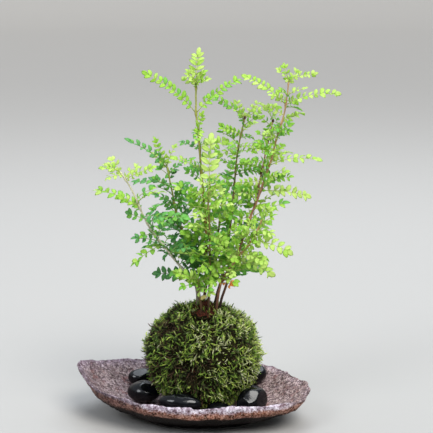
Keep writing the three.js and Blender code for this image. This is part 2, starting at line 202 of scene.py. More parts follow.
def finish_material(material, result):
    shader(material, "OutputMaterial", {"Surface": result})
    return material

# %% [markdown]
# ## Turning mesh code into pieces
# Each piece is made in a bmesh, Blender's editable mesh, and then handed over as an object that sits at
# the origin with its place in its vertices. Thousands of small shapes, such as leaflets, are cheap to add
# if one shape is made once and its copies are put in place with a matrix. Two values travel with every
# vertex for the materials to read: how far along its piece it lies, and a tint that differs from copy to
# copy.

# %% Piece helpers
# Chance is seeded, and so is the noise, whose vectors would otherwise change from run to run.
SEED = 19
VALUES = ("along", "tint")
draw = random.Random(SEED)
noise.seed_set(SEED)


def new_mesh_code():
    """An empty bmesh that carries the named values and a UV map."""
    bm = bmesh.new()
    for name in VALUES:
        bm.verts.layers.float.new(name)
    bm.loops.layers.uv.new("UVMap")
    return bm


def as_shape(bm, name, material_index=0):
    """A small mesh that plant() copies."""
    mesh = bpy.data.meshes.new(name)
    for face in bm.faces:
        face.material_index = material_index
        face.smooth = True
    bm.to_mesh(mesh)
    bm.free()
    return mesh


def plant(target, shape, place, **values):
    """Adds a copy of a shape to a bmesh, put in place by a matrix, with its own values."""
    copy = shape.copy()
    copy.transform(place)
    for name, value in values.items():
        copy.attributes[name].data.foreach_set("value", [value] * len(copy.vertices))
    target.from_mesh(copy)
    bpy.data.meshes.remove(copy)


def hand_over(bm, name, materials, slot, *nodes):
    """Makes the piece that stands for the named solids, and lets it ride on the part."""
    mesh = bpy.data.meshes.new(name)
    bm.to_mesh(mesh)
    bm.free()
    for material in materials:
        mesh.materials.append(material)
    made = bpy.data.objects.new(name, mesh)
    bpy.context.scene.collection.objects.link(made)
    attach(made, "root")
    if nodes:
        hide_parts(*nodes)
    mesh.calc_loop_triangles()
    print(name, "has", len(mesh.loop_triangles), "triangles")
    return made


def smooth_all(bm):
    for face in bm.faces:
        face.smooth = True


def roughen(bm, depth):
    """Moves every vertex out along its normal by depth(place, vertex), in millimetres."""
    bm.normal_update()
    moves = [v.normal * depth(v.co / MM, v) * MM for v in bm.verts]
    for vertex, move in zip(bm.verts, moves):
        vertex.co += move


def waves(place, size, seed=0):
    """Smooth noise from -1 to 1 with features of the given size in millimetres."""
    return noise.noise(place / size + Vector((seed, seed, seed)))


def rise(value, low, high):
    """0 below low, 1 above high and a smooth climb between."""
    share = min(max((value - low) / (high - low), 0), 1)
    return share * share * (3 - 2 * share)


def part_way(ends, share):
    """The value that lies a share of the way from the first of two values to the second."""
    return ends[0] + (ends[1] - ends[0]) * share

# %% [markdown]
# ## The dish: its form
# The dish is one slab of coarse clay, pinched up by hand into an uneven oval with a high left tip. Its
# solid is a section that is turned about the middle and then stretched out to a rim whose reach and
# height change with the direction. A sculpted mesh would lose that rule, so the same section is spun
# again here in much finer steps, and the same formulas put every ring in its place.

# %% Spin the dish
FLOOR_HEIGHT = 10.4
DISH_WALL = 5.6
FOOT_LIP = 7
EDGE_DROP = 8.5
EDGE_THIN_SHARE = 0.45
EDGE_START = 0.96
EDGE_RUN = 0.05
EDGE_CROWN = 0.8
FOOT_SHARE = 0.48
FLOOR_SHARE = 0.6
WALL_CURVE = 1.5
# The rim's reach and height every 15 degrees, from the right tip round by the back.
RIM_RADIUS = [92, 86, 84, 81, 78, 76, 75, 78, 83, 90, 96, 102]
RIM_RADIUS += [100, 87, 78, 72, 66, 64, 63, 65, 69, 79, 91, 97]
RIM_HEIGHT = [29.5, 29, 29, 29, 29, 29, 29, 29, 30, 32, 35.5, 41]
RIM_HEIGHT += [41, 33, 31.5, 30.5, 29, 29, 28.5, 28.5, 28.5, 28, 27.5, 28.5]
RIM_PINCHES = [(0.012, 11, 1), (0.008, 17, 2)]
# Share of the way out, height above the inside, and how many fine rings the stretch that follows gets.
DISH_SECTION = [
    (0, -FLOOR_HEIGHT, 3),
    (FOOT_SHARE, -FLOOR_HEIGHT, 4),
    (FOOT_SHARE + 0.03, -FOOT_LIP, 6),
    (0.66, -DISH_WALL, 8),
    (0.8, -DISH_WALL, 7),
    (0.9, -DISH_WALL - 0.5, 6),
    (0.965, -EDGE_DROP, 5),
    (0.99, -0.6 * EDGE_DROP, 5),
    (1, -2 * EDGE_CROWN, 4),
    (0.98, 0.25 * EDGE_CROWN, 5),
    (0.93, EDGE_CROWN, 7),
    (0.85, 0, 7),
    (0.77, 0, 7),
    (0.69, 0, 7),
    (FLOOR_SHARE, 0, 6),
    (FLOOR_SHARE / 2, 0, 4),
    (0, 0, 0),
]
DISH_STEPS = 560
MERGE_DISTANCE = 1e-6


def between(values, w):
    """The Catmull-Rom curve through the middle two of four values."""
    v0, v1, v2, v3 = values
    return v1 + 0.5 * w * (v2 - v0 + w * (2 * v0 - 5 * v1 + 4 * v2 - v3 + w * (3 * (v1 - v2) + v3 - v0)))


def around_rim(values, angle):
    turns = angle / math.tau % 1 * len(values)
    before = int(turns)
    return between([values[(before + step) % len(values)] for step in (-1, 0, 1, 2)], turns - before)


def rim_reach(angle):
    pinches = [share * math.sin(count * angle + phase) for share, count, phase in RIM_PINCHES]
    return around_rim(RIM_RADIUS, angle) * (1 + sum(pinches))


def inside_height(share, angle):
    climb = max(0, (share - FLOOR_SHARE) / (1 - FLOOR_SHARE))
    return FLOOR_HEIGHT + (around_rim(RIM_HEIGHT, angle) - FLOOR_HEIGHT) * climb**WALL_CURVE


def depth_share(share, lift, angle):
    """The pinched edge is deep at the front and back, and thins towards the two ends."""
    if lift >= 0:
        return 1
    thin = EDGE_THIN_SHARE + (1 - EDGE_THIN_SHARE) * math.sin(angle) ** 2
    return 1 + (thin - 1) * min(max((share - EDGE_START + EDGE_RUN) / EDGE_RUN, 0), 1)


def fine_section():
    """The section's rings as (share, lift, how far along the section), from the foot round to the floor."""
    last = len(DISH_SECTION) - 1
    rings = []
    for index, (_, _, steps) in enumerate(DISH_SECTION):
        near = [DISH_SECTION[min(max(index + step, 0), last)] for step in (-1, 0, 1, 2)]
        for step in range(max(steps, 1)):
            w = step / max(steps, 1)
            share = max(0, between([point[0] for point in near], w))
            lift = between([point[1] for point in near], w)
            if index == 0:
                lift = -FLOOR_HEIGHT
            rings.append((share, lift, (index + w) / last))
    return rings


def spin_profile(bm, profile, steps):
    """Turns (radius, height) points that start and end on the axis into a closed shell."""
    corners = [bm.verts.new((radius, 0, height)) for radius, height in profile]
    edges = [bm.edges.new(pair) for pair in zip(corners, corners[1:])]
    bmesh.ops.spin(bm, geom=corners + edges, axis=(0, 0, 1), angle=math.tau, steps=steps, use_merge=True)
    bmesh.ops.remove_doubles(bm, verts=bm.verts, dist=MERGE_DISTANCE)


def spun_dish():
    rings = fine_section()
    bm = new_mesh_code()
    spin_profile(bm, [(share, row) for row, (share, _, _) in enumerate(rings)], DISH_STEPS)
    along = bm.verts.layers.float["along"]
    for vertex in bm.verts:
        angle = math.atan2(vertex.co.y, vertex.co.x)
        share, lift, vertex[along] = rings[round(vertex.co.z)]
        reach = share * rim_reach(angle)
        height = inside_height(share, angle) + lift * depth_share(share, lift, angle)
        vertex.co = Vector((reach * math.cos(angle), reach * math.sin(angle), height)) * MM
    bmesh.ops.recalc_face_normals(bm, faces=bm.faces)
    return bm


dish = spun_dish()
print("dish rings:", len(fine_section()), "steps round:", DISH_STEPS)

# %% [markdown]
# ## The dish: pinched and pitted clay
# The clay is coarse and was torn rather than trimmed, so the rim is knobbly, the walls are lumpy and
# small grains have fallen out and left pits. Bump alone would leave the outline smooth, so the vertices
# themselves move. Lumps, chips and grit are noise at three sizes, the rim has knobs and teeth of its own,
# and a pit is a small bowl round each point of a Voronoi pattern. The foot stays flat.

# %% Roughen the clay
# Each relief has a size and a depth in millimetres.
LUMPS = (14, 1.1)
CHIPS = (4.6, 0.55)
GRIT = (1.9, 0.3)
RIM_KNOBS = (10.5, 1.4)
# The teeth's size, and their depth as a share of the knobs'.
RIM_TEETH = (3.1, 0.4)
PIT_SPACING = 3.4
PIT_REACH = 0.36
PIT_DEPTH = 0.75
# Where along the section the rim starts and is full, and where it fades and ends.
RIM_ALONG = (0.36, 0.45, 0.6, 0.68)
FLOOR_ALONG = (0.84, 0.9)
CALM_HEIGHTS = (0.3, 4)
CALM_FLOOR = 0.35


def clay_depth(along_layer):
    """How far the clay stands out or sinks in at a vertex, for roughen()."""

    def depth(place, vertex):
        along = vertex[along_layer]
        rim = rise(along, *RIM_ALONG[:2]) * (1 - rise(along, *RIM_ALONG[2:]))
        calm = rise(place.z, *CALM_HEIGHTS) * (1 - (1 - CALM_FLOOR) * rise(along, *FLOOR_ALONG))
        total = sum(deep * waves(place, size, 3) for size, deep in (LUMPS, CHIPS, GRIT))
        teeth = RIM_TEETH[1] * waves(place, RIM_TEETH[0], 5)
        total += rim * RIM_KNOBS[1] * (waves(place, RIM_KNOBS[0], 8) + teeth)
        nearest = noise.voronoi(place / PIT_SPACING)[0][0]
        total -= PIT_DEPTH * (1 - rise(nearest, 0, PIT_REACH))
        return total * calm

    return depth


roughen(dish, clay_depth(dish.verts.layers.float["along"]))
dish.normal_update()
smooth_all(dish)
dish_tree = BVHTree.FromBMesh(dish)

# %% [markdown]
# ## The dish: fired stoneware
# Iron in the clay fired the inside purple brown, with red stains and dark pits, and painted shade darkens
# it towards the left tip. Ash settled on the front of the rim as a pale lavender bloom, which thins towards
# both tips and the back, and a painted highlight where the light catches the front of the rim adds to it.
# The bare clay below it is rust red, and purple towards the left tip, and the underside beneath it is
# painted near black as the shade under the dish. These bands follow the value that each ring carries along
# the section, broken up by noise, and fine dark and pale grains give the speckle. The clay is unglazed,
# so it is nearly matt.

# %% Clay material
# Tones are stops along a noise: a place from 0 to 1 and a screen colour.
BODY_TONES = [(0.34, (98, 78, 80)), (0.5, (136, 112, 115)), (0.68, (158, 137, 151))]
GRAIN_TONES = [(0.36, (36, 24, 22)), (0.48, (124, 100, 100)), (0.6, (248, 230, 220))]
BLOTCH_TONES = [(0.38, (78, 62, 65)), (0.5, (134, 112, 115)), (0.61, (206, 187, 190))]
# Painted shade: the inside is multiplied darker towards the left end.
SHADE_TONES = [(0.1, (216, 216, 220)), (0.8, (252, 248, 244))]
# Painted shade: the underside below the rim is coloured near black for the shade under the dish.
PAINTED_SHADE_UNDERSIDE_TONES = [(0.3, (20, 13, 11)), (0.37, (56, 34, 28))]
RUST_TONES = [(0.41, (14, 6, 4)), (0.48, (110, 62, 42)), (0.59, (216, 172, 150))]
CHIPPED_TONES = [(0.42, (22, 9, 7)), (0.48, (128, 62, 36)), (0.59, (192, 146, 134))]
DUSK_TONES = [(0.36, (66, 54, 70)), (0.52, (118, 102, 124)), (0.66, (182, 168, 188))]
# Partly painted highlight: the pale front of the rim is an ash bloom and the light catching its crest.
ASH_AND_HIGHLIGHT_TONES = [(0.36, (124, 102, 114)), (0.5, (190, 176, 190)), (0.62, (234, 226, 238))]
RED_STAIN = (128, 62, 48)
PURPLE_STAIN = (66, 50, 60)
CLAY_PIT_TONE = (62, 46, 48)
ASH_PIT_TONE = (74, 52, 54)
# Where each band begins and is full, along the section.
WALL_BAND = (0.345, 0.37)
RIM_BAND = (0.43, 0.465)
INSIDE_BAND = (0.56, 0.635)
BAND_RAGGEDNESS = 0.12
# The left and right ends of the clay's changes, and how the ash and painted highlight fade from front to
# back, in millimetres.
DISH_ENDS = (-85, 95)
ASH_AND_HIGHLIGHT_FADE = (25, -15)


def inside_clay(material, place, speck, patchy, eastward):
    """The speckled purple brown of the inside, with red stains and dark pits, and painted shade towards the
    left end.
    """
    body = ramp(material, cloud(material, place, 17, 3), *BODY_TONES)
    tone = mix(material, 0.62, body, ramp(material, speck, *GRAIN_TONES))
    tone = mix(material, 0.42, tone, ramp(material, patchy, *BLOTCH_TONES))
    stained = ramp(material, cloud(material, place, 7, 4), (0.54, 0.0), (0.68, 0.5))
    tone = mix(material, stained, tone, RED_STAIN)
    pitted = ramp(material, cloud(material, place, 2.5, 2, 0.7), (0.41, 0.8), (0.48, 0.0))
    tone = mix(material, pitted, tone, CLAY_PIT_TONE)
    return mix(material, 1.0, tone, ramp(material, eastward, *SHADE_TONES), "MULTIPLY")


def bare_wall(material, speck, patchy, eastward):
    """The bare clay under the rim: rust red, and purple towards the left tip."""
    rust = mix(material, 0.5, ramp(material, speck, *RUST_TONES), ramp(material, patchy, *CHIPPED_TONES))
    westward = ramp(material, eastward, (0.1, 0.8), (0.4, 0.0))
    return mix(material, westward, rust, mix(material, 0.6, rust, PURPLE_STAIN))


def ash_and_highlight_rim(material, forward, speck, patchy, eastward, inside):
    """The pale ash and painted highlight on the front of the rim, dusky at the back and gone at the right
    tip.
    """
    dusk = mix(material, 0.55, ramp(material, patchy, *DUSK_TONES), inside)
    middle = ramp(material, eastward, (0.06, 0.0), (0.3, 1.0), (0.85, 1.0), (0.97, 0.2))
    ashy_and_lit = mix(material, 1.0, middle, forward, "MULTIPLY")
    tone = mix(material, ashy_and_lit, dusk, ramp(material, patchy, *ASH_AND_HIGHLIGHT_TONES))
    bare_tip = ramp(material, eastward, (0.82, 0.0), (0.94, 0.75))
    tone = mix(material, bare_tip, tone, inside)
    pitted = ramp(material, speck, (0.39, 0.85), (0.47, 0.0))
    return mix(material, pitted, tone, ASH_PIT_TONE)


def reached(material, along, start, full):
    """0 before a band of the section begins, and 1 once it is full."""
    return ramp(material, along, (start, 0.0), (full, 1.0))


def clay():
    material = new_material("stoneware")
    place = millimetres(material)
    parts = shader(material, "SeparateXYZ", {"Vector": place}).outputs
    eastward = wave_between(material, parts["X"], *DISH_ENDS)
    forward = wave_between(material, parts["Y"], *ASH_AND_HIGHLIGHT_FADE)
    speck = cloud(material, place, 1.4, 3, 0.75)
    patchy = cloud(material, place, 4, 3, 0.65)
    ragged = mix(material, BAND_RAGGEDNESS, value_of(material, "along"), speck)
    inside = inside_clay(material, place, speck, patchy, eastward)
    wall = bare_wall(material, speck, patchy, eastward)
    rim = ash_and_highlight_rim(material, forward, speck, patchy, eastward, inside)
    # The underside's painted shade lies beneath the wall, rim and inside bands.
    tone = ramp(material, ragged, *PAINTED_SHADE_UNDERSIDE_TONES)
    for limits, next_tone in ((WALL_BAND, wall), (RIM_BAND, rim), (INSIDE_BAND, inside)):
        tone = mix(material, reached(material, ragged, *limits), tone, next_tone)
    relief = bump(material, speck, 0.8)
    relief = bump(material, cloud(material, place, 0.5, 3), 0.15, relief)
    matt = ramp(material, speck, (0.3, 0.9), (0.7, 0.62))
    unglazed = surface(material, Base_Color=tone, Roughness=matt, Normal=relief, Specular_IOR_Level=0.25)
    return finish_material(material, unglazed)


hand_over(dish, "clay_dish", [clay()], "stoneware", "dish")

# %% [markdown]
# ## The pebbles
# River pebbles are broken stone that water has worn round: still a little angular, with soft flat facets,
# and polished and oiled until they mirror the room. Each starts as an icosphere, because its faces are
# even all round with no poles. It is pressed flat on a few sides, swollen like its solid, drawn out to
# its half sizes, and then lowered until it touches the clay.

# %% Shape the pebbles
# Place on the dish, half sizes, then turn, lean and pitch in degrees.
PEBBLES = {
    "left": ((-45, 6), (15, 11, 8.8), -14, 4, 0),
    "left_back": ((-49, 42), (11.5, 9.5, 7), 20, 6, 0),
    "front_left": ((-13.5, -47.4), (17.5, 8, 8.2), -12, 2, 0),
    "front": ((18, -42.5), (10.5, 7.5, 6), 4, 4, 0),
    "front_right": ((45.7, -30.2), (15.8, 9.3, 11.9), 48, -8, -16),
    "right": ((48, 10), (11, 9, 6.5), 75, 0, 0),
    "right_back": ((50, 40), (11.5, 9.5, 8), 118, -10, 0),
    "back_right": ((22, 50), (13, 9.5, 7.5), 165, 5, 0),
    "back": ((-12, 50), (14, 10, 7.5), 4, 4, 0),
}
PEBBLE_SWELLING = 0.05
PEBBLE_FACETS = 4
FACET_DEPTH = (0.86, 0.96)
FACET_SOFTNESS = 0.88
# Facets that show in the photograph, as the way each faces on the dish, and a depth.
SEEN_FACETS = {
    "front_right": [
        ((0.22, -0.7, 0.68), 0.88),
        ((0.84, -0.5, 0.2), 0.82),
        ((-0.5, -0.85, 0.1), 0.82),
        ((0.1, 0.05, 0.99), 0.84),
    ],
    "left_back": [((-0.05, -0.45, 0.89), 0.88)],
    "left": [((0.1, -0.6, 0.79), 0.9)],
}
PEBBLE_WEAR = (9, 0.35)
PEBBLE_SINK = 0.15
PROBE_HEIGHT = 0.1


def pebble(name, at, half, turn, lean, pitch):
    """A worn stone at its solid's place, lowered until it touches the clay."""
    low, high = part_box("pebble_" + name)
    bm = new_mesh_code()
    bmesh.ops.create_icosphere(bm, subdivisions=5, radius=1)
    stand = Matrix.Translation((at[0] * MM, at[1] * MM, (low.z + high.z) / 2))
    for degrees, axis in ((turn, "Z"), (pitch, "Y"), (lean, "X")):
        stand @= Matrix.Rotation(math.radians(degrees), 4, axis)
    stand @= Matrix.Diagonal((*(size * MM for size in half), 1))
    inward = stand.to_3x3().transposed()
    seen = SEEN_FACETS.get(name, [])
    facets = [((inward @ Vector(facing)).normalized(), depth) for facing, depth in seen]
    for _ in range(0 if facets else PEBBLE_FACETS):
        facing = Vector((draw.uniform(-1, 1), draw.uniform(-1, 1), draw.uniform(-0.5, 1))).normalized()
        facets.append((facing, draw.uniform(*FACET_DEPTH)))
    for facing, depth in facets:
        for vertex in bm.verts:
            past = vertex.co.dot(facing) - depth
            if past > 0:
                vertex.co -= facing * past * FACET_SOFTNESS
    for vertex in bm.verts:
        across = math.atan2(vertex.co.y, vertex.co.x)
        vertex.co *= 1 + PEBBLE_SWELLING * math.sin(2 * across + turn)
    bmesh.ops.transform(bm, matrix=stand, verts=bm.verts)
    roughen(bm, lambda place, vertex: PEBBLE_WEAR[1] * waves(place, PEBBLE_WEAR[0], turn))
    bmesh.ops.translate(bm, verts=bm.verts, vec=(0, 0, -clearance(bm, dish_tree) - PEBBLE_SINK * MM))
    smooth_all(bm)
    return bm


def clearance(bm, tree):
    """The least height of a mesh over the surface below it."""
    down = Vector((0, 0, -1))
    from_above = Vector((0, 0, PROBE_HEIGHT))
    gaps = []
    for vertex in bm.verts:
        hit = tree.ray_cast(vertex.co + from_above, down)[0]
        if hit:
            gaps.append(vertex.co.z - hit.z)
    return min(gaps)

# %% [markdown]
# ## Polished stone
# Black pebbles look black because they mirror far more light than they scatter. A low roughness does
# that, and the life of the surface is in small changes: faint cloudy minerals in the stone, a skin that
# is a little duller in patches, and shallow dents that bend the reflections.

# %% Pebble material


def polished_stone():
    material = new_material("polished_stone")
    place = millimetres(material)
    mineral = cloud(material, place, 5, 4)
    tone = ramp(material, mineral, (0.35, (3, 3, 4)), (0.7, (13, 15, 19)))
    dull = ramp(material, cloud(material, place, 7, 3), (0.35, 0.1), (0.75, 0.22))
    relief = bump(material, cloud(material, place, 3.2, 2), 0.1)
    gloss = surface(material, Base_Color=tone, Roughness=dull, Normal=relief, Specular_IOR_Level=0.34)
    return finish_material(material, gloss)


stone = polished_stone()
for name, shape in PEBBLES.items():
    hand_over(pebble(name, *shape), "stone_" + name, [stone], "pebble", "pebble_" + name)

# %% [markdown]
# ## The soil
# Inside the moss is a ball of peaty soil. Only a brown collar of it shows, where the stems come out at
# the top. The whole ball is spun again from its solid's profile, and noise breaks its surface into
# crumbs. Round the stems more crumbs are piled up, a little higher than the solid.

# %% Spin the soil
BALL_CENTRE = Vector((6, 0, 54))
BALL_SQUARENESS = 0.88
MOSS_RADIUS = 46.5
MOSS_HALF_HEIGHT = 41.5
SOIL_RADIUS = 38.5
SOIL_HALF_HEIGHT = 35.5
COLLAR_RADIUS = 17
SOIL_MOUND = [(COLLAR_RADIUS - 1, 88.5), (11.5, 92.5), (5, 94.5), (0, 95.2)]
MOUND_STEPS = 5
# The degrees of latitude from which the ball is round, up to which, and the step.
SOIL_LATITUDES = (-78, 64, 3)
SOIL_STEPS = 150
CRUMBS = (3.2, 1.1)
FINE_CRUMBS = (1.4, 0.5)
# Crumbs piled against the stems stand higher than the solid, within a ragged reach of the middle.
PILE_HEIGHT = 5.5
PILE_REACH = (3, 15)
PILE_RAGGEDNESS = (6, 5)
PEAT_TONES = [(0.35, (28, 14, 10)), (0.52, (84, 42, 32)), (0.7, (138, 80, 56))]


def ball_point(radius, half_height, latitude):
    """Where a latitude, in radians, lies on the ball's section: how far out, and how high."""
    out = math.cos(latitude) ** BALL_SQUARENESS
    up = math.copysign(abs(math.sin(latitude)) ** BALL_SQUARENESS, latitude)
    return radius * out, BALL_CENTRE.z + half_height * up


def soil_profile():
    """The ball's section from its bottom up to the middle of the mound, in millimetres."""
    profile = [(0, BALL_CENTRE.z - SOIL_HALF_HEIGHT)]
    for degrees in range(*SOIL_LATITUDES):
        profile.append(ball_point(SOIL_RADIUS, SOIL_HALF_HEIGHT, math.radians(degrees)))
    for radii, heights in zip(*(list(zip(values, values[1:])) for values in zip(*SOIL_MOUND))):
        for step in range(MOUND_STEPS):
            profile.append((part_way(radii, step / MOUND_STEPS), part_way(heights, step / MOUND_STEPS)))
    return [*profile, SOIL_MOUND[-1]]


def pile_height(place):
    """How much higher than its solid the soil stands at a place."""
    if place.z <= BALL_CENTRE.z:
        return 0
    out = math.hypot(place.x - BALL_CENTRE.x, place.y - BALL_CENTRE.y)
    size, ragged = PILE_RAGGEDNESS
    return PILE_HEIGHT * (1 - rise(out, PILE_REACH[0], PILE_REACH[1] + ragged * waves(place, size)))


def soil():
    bm = new_mesh_code()
    spin_profile(bm, [(radius * MM, height * MM) for radius, height in soil_profile()], SOIL_STEPS)
    bmesh.ops.translate(bm, verts=bm.verts, vec=(BALL_CENTRE.x * MM, BALL_CENTRE.y * MM, 0))
    bmesh.ops.recalc_face_normals(bm, faces=bm.faces)
    crumbs = (CRUMBS, FINE_CRUMBS)
    roughen(bm, lambda place, vertex: sum(deep * waves(place, size, 4) for size, deep in crumbs))
    for vertex in bm.verts:
        vertex.co.z += pile_height(vertex.co / MM) * MM
    smooth_all(bm)
    return bm


def peat():
    material = new_material("peat")
    place = millimetres(material)
    grain = cloud(material, place, 1.3, 4, 0.7)
    tone = ramp(material, grain, *PEAT_TONES)
    relief = bump(material, grain, 0.6)
    matt = surface(material, Base_Color=tone, Roughness=0.95, Normal=relief, Specular_IOR_Level=0.15)
    return finish_material(material, matt)


hand_over(soil(), "peat_ball", [peat()], "soil", "soil_ball")

# %% [markdown]
# ## The moss mat
# Moss grows as a mat of old brown shoots with living green tips standing out of it. The mat is a copy of
# the moss solid: its loose triangles are merged, cut finer and smoothed. It is drawn in a little, to
# leave room for the tips, and swells and sinks in stated places, so that the ball isn't quite round. It
# shows only as the dark between the tips, and its near-black colour is partly old brown shoots and partly
# painted shade deep between the tips.

# %% Shape the mat
MAT_DEPTH = 2.6
MAT_LUMPS = (5, 1.0)
MAT_MERGE = 0.01
# Nearer than this to the soil, or to the clay, the mat keeps its solid's shape.
MAT_SOIL_GAP = 1.5
MAT_FLOOR_GAP = 2
# Where the moss swells or sinks: a direction from the ball's middle, how far it reaches, and how much.
SWELLINGS = [
    ((-0.5, -0.05, 0.86), 13, 4.4),
    ((-0.96, -0.15, 0.28), 13, 3.4),
    ((-0.82, -0.1, 0.56), 7, -1.8),
    ((0.04, -0.42, 0.91), 10, -4),
    ((0.5, -0.4, 0.77), 12, 1.6),
    ((0.8, -0.3, -0.5), 16, -1.6),
    ((0.05, -0.86, -0.5), 13, 3),
    ((-0.3, -0.95, 0.08), 7, -5.5),
    ((-0.15, -0.96, -0.15), 7, -5.5),
    ((0.5, 0.8, 0.3), 20, 2.2),
    ((-0.5, 0.8, 0.2), 18, 1.8),
]


def swelling(place):
    """How far the moss stands out or sinks in at a place, in millimetres."""
    total = 0
    for direction, reach, height in SWELLINGS:
        middle = BALL_CENTRE + Vector(direction).normalized() * 0.5 * (MOSS_RADIUS + MOSS_HALF_HEIGHT)
        total += height * math.exp(-(((place - middle).length / reach) ** 2))
    return total


def moss_mat():
    bm = new_mesh_code()
    bm.from_mesh(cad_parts["moss_skin"].data)
    bmesh.ops.remove_doubles(bm, verts=bm.verts, dist=MAT_MERGE * MM)
    bmesh.ops.subdivide_edges(bm, edges=bm.edges, cuts=1, smooth=1.0, use_grid_fill=True)
    inner = SOIL_RADIUS + MAT_SOIL_GAP
    outside = {vertex for vertex in bm.verts if (vertex.co / MM - BALL_CENTRE).length > inner}

    def depth(place, vertex):
        if vertex not in outside or place.z < FLOOR_HEIGHT + MAT_FLOOR_GAP:
            return 0
        return MAT_LUMPS[1] * waves(place, MAT_LUMPS[0], 2) - MAT_DEPTH + swelling(place)

    roughen(bm, depth)
    smooth_all(bm)
    return bm


def old_moss_and_shade():
    material = new_material("old_moss_and_shade")
    place = millimetres(material)
    grain = cloud(material, place, 1.6, 4, 0.7)
    # Partly painted shade: these near-black tones stand for the shade deep between the tips as well as old
    # moss.
    tone = ramp(material, grain, (0.38, (8, 8, 4)), (0.52, (22, 23, 9)), (0.7, (52, 44, 22)))
    brown = ramp(material, cloud(material, place, 11, 3), (0.45, 0.0), (0.65, 0.4))
    tone = mix(material, brown, tone, (36, 27, 19))
    relief = bump(material, grain, 0.7)
    matt = surface(material, Base_Color=tone, Roughness=1.0, Normal=relief, Specular_IOR_Level=0.05)
    return finish_material(material, matt)


hand_over(moss_mat(), "moss_mat", [old_moss_and_shade()], "moss", "moss_skin")

# %% [markdown]
# ## One moss shoot
# A shoot of feather moss is a thin stem wrapped in tiny pointed leaves that overlap towards its tip. Each
# leaf is a flattened three-sided cone of four faces, which is closed and costs almost nothing. Pairs of
# leaves climb a curved axis. A handful of shoots with different curves is enough, because every copy is
# turned and scaled.

# %% Shape the moss shoots
SHOOT_LENGTH = 7
SHOOT_RINGS = 5
LEAVES_IN_RING = 2
MOSS_LEAF_LENGTH = 3.1
MOSS_LEAF_WIDTH = 0.52
MOSS_LEAF_FLATNESS = 0.45
MOSS_SPREAD = (math.radians(25), math.radians(7))
# How much shorter and narrower the leaves at the tip are than those at the foot.
MOSS_SHORTENING = 0.25
MOSS_NARROWING = 0.3
RING_TURN = 75
MOSS_CURVES = (-1.2, -0.6, 0.2, 0.7, 1.2, 1.8)


def moss_shoot(curve):
    """A shoot up +Z from the origin, whose tip bends towards +X by curve, in radians."""
    bm = new_mesh_code()
    along = bm.verts.layers.float["along"]
    axis = Vector((0, 0, 0))
    step = SHOOT_LENGTH / SHOOT_RINGS
    for ring in range(SHOOT_RINGS):
        share = ring / (SHOOT_RINGS - 1)
        bend = Matrix.Rotation(curve * share, 4, "Y")
        spread = Matrix.Rotation(part_way(MOSS_SPREAD, share), 4, "X")
        length = MOSS_LEAF_LENGTH * (1 - MOSS_SHORTENING * share)
        width = MOSS_LEAF_WIDTH * (1 - MOSS_NARROWING * share)
        for leaf in range(LEAVES_IN_RING):
            turn = math.tau * leaf / LEAVES_IN_RING + math.radians(RING_TURN * ring)
            place = Matrix.Translation(axis) @ bend @ Matrix.Rotation(turn, 4, "Z") @ spread
            place @= Matrix.Diagonal((1, MOSS_LEAF_FLATNESS, 1, 1)) @ Matrix.Translation((0, 0, length / 2))
            made = bmesh.ops.create_cone(
                bm, cap_ends=True, segments=3, radius1=width, radius2=0, depth=length, matrix=place
            )
            for vertex in made["verts"]:
                vertex[along] = share
        axis = axis + bend @ Vector((0, 0, step))
    bmesh.ops.scale(bm, vec=(MM, MM, MM), verts=bm.verts)
    return as_shape(bm, "moss_shoot")


moss_shoots = [moss_shoot(curve) for curve in MOSS_CURVES]
print("faces in one moss shoot:", len(moss_shoots[0].polygons))

# %% [markdown]
# ## Planting the moss
# The shoots are set on the ball along a golden-angle spiral, which covers a round thing evenly, and each
# is jittered so that no rows show. Real moss grows in tufts. The cells of a Voronoi pattern are the tufts
# here: each has its own height and is combed its own way, with a pull downwards on the ball's lower half.
# Old brown patches get shorter and browner shoots. Shoots on the sunny side are painted paler, as painted
# light, and those at the edge of a tuft darker, as painted shade between tufts.

# %% Plant the moss
MOSS_COUNT = 10800
GOLDEN_ANGLE = math.pi * (3 - math.sqrt(5))
MOSS_BANDS = 3
SPIRAL_JITTER = (0.02, 0.012)
TUFT_SIZE = 8.5
TUFT_HEIGHT = 3.2
ROOT_DEPTH = 0.6
# No moss grows this near the clay, and above this height it leaves the soil bare round the stems.
MOSS_FLOOR_GAP = 2.5
BARE_ABOVE = 80
BARE_FRONT = 8
BARE_JITTER = (-1.5, 2.5)
# How a shoot's way is made up: straight out, away from its tuft's middle, combed like its tuft, at
# random, and down on the ball's lower half.
OUTWARD_SHARE = 0.45
SPLAY_SHARE = 0.8
COMB_SHARE = 0.75
WILDNESS = 0.3
DROOP = 0.6
DROOP_BAND = (-0.5, 0.6)
# The least that a shoot may point outwards, and how far out a flatter one is pulled.
LEAST_RISE = 0.12
LIFTED_RISE = 0.24
# Places in the noise that give each tuft its own height and its own comb.
HEIGHT_PATTERN = 5.3
COMB_PATTERN = 3.1
# A random size, then the size in the middle of a tuft and what its edge takes from that, then what an
# old patch takes. A few shoots are long.
SHOOT_SIZES = (0.7, 1.1)
TUFT_SIZES = (1.12, 0.32)
TUFT_EDGE = (0.15, 0.75)
OLD_SHRINKING = 0.4
LONG_SHARE = 0.03
LONG_SIZE = 1.35
# Freshness is the tint of a shoot: its mean, then what clouds, the tuft, painted sunlight on the sunny side
# and chance add.
FRESHNESS = 0.54
FRESH_CLOUDS = (12, 0.5)
FRESH_BY_TUFT = 0.42
PAINTED_SUNLIGHT = 0.22
FRESH_JITTER = 0.26
# What the edge of a tuft takes from it, as painted shade between tufts, and what an old patch takes.
EDGE_PAINTED_SHADE = 0.25
EDGE_PAINTED_SHADE_BAND = (0.3, 0.8)
OLD_LOSS = 0.75
# A patch is full within one share of its reach and gone beyond another.
PATCH_FADE = (0.4, 1.3)
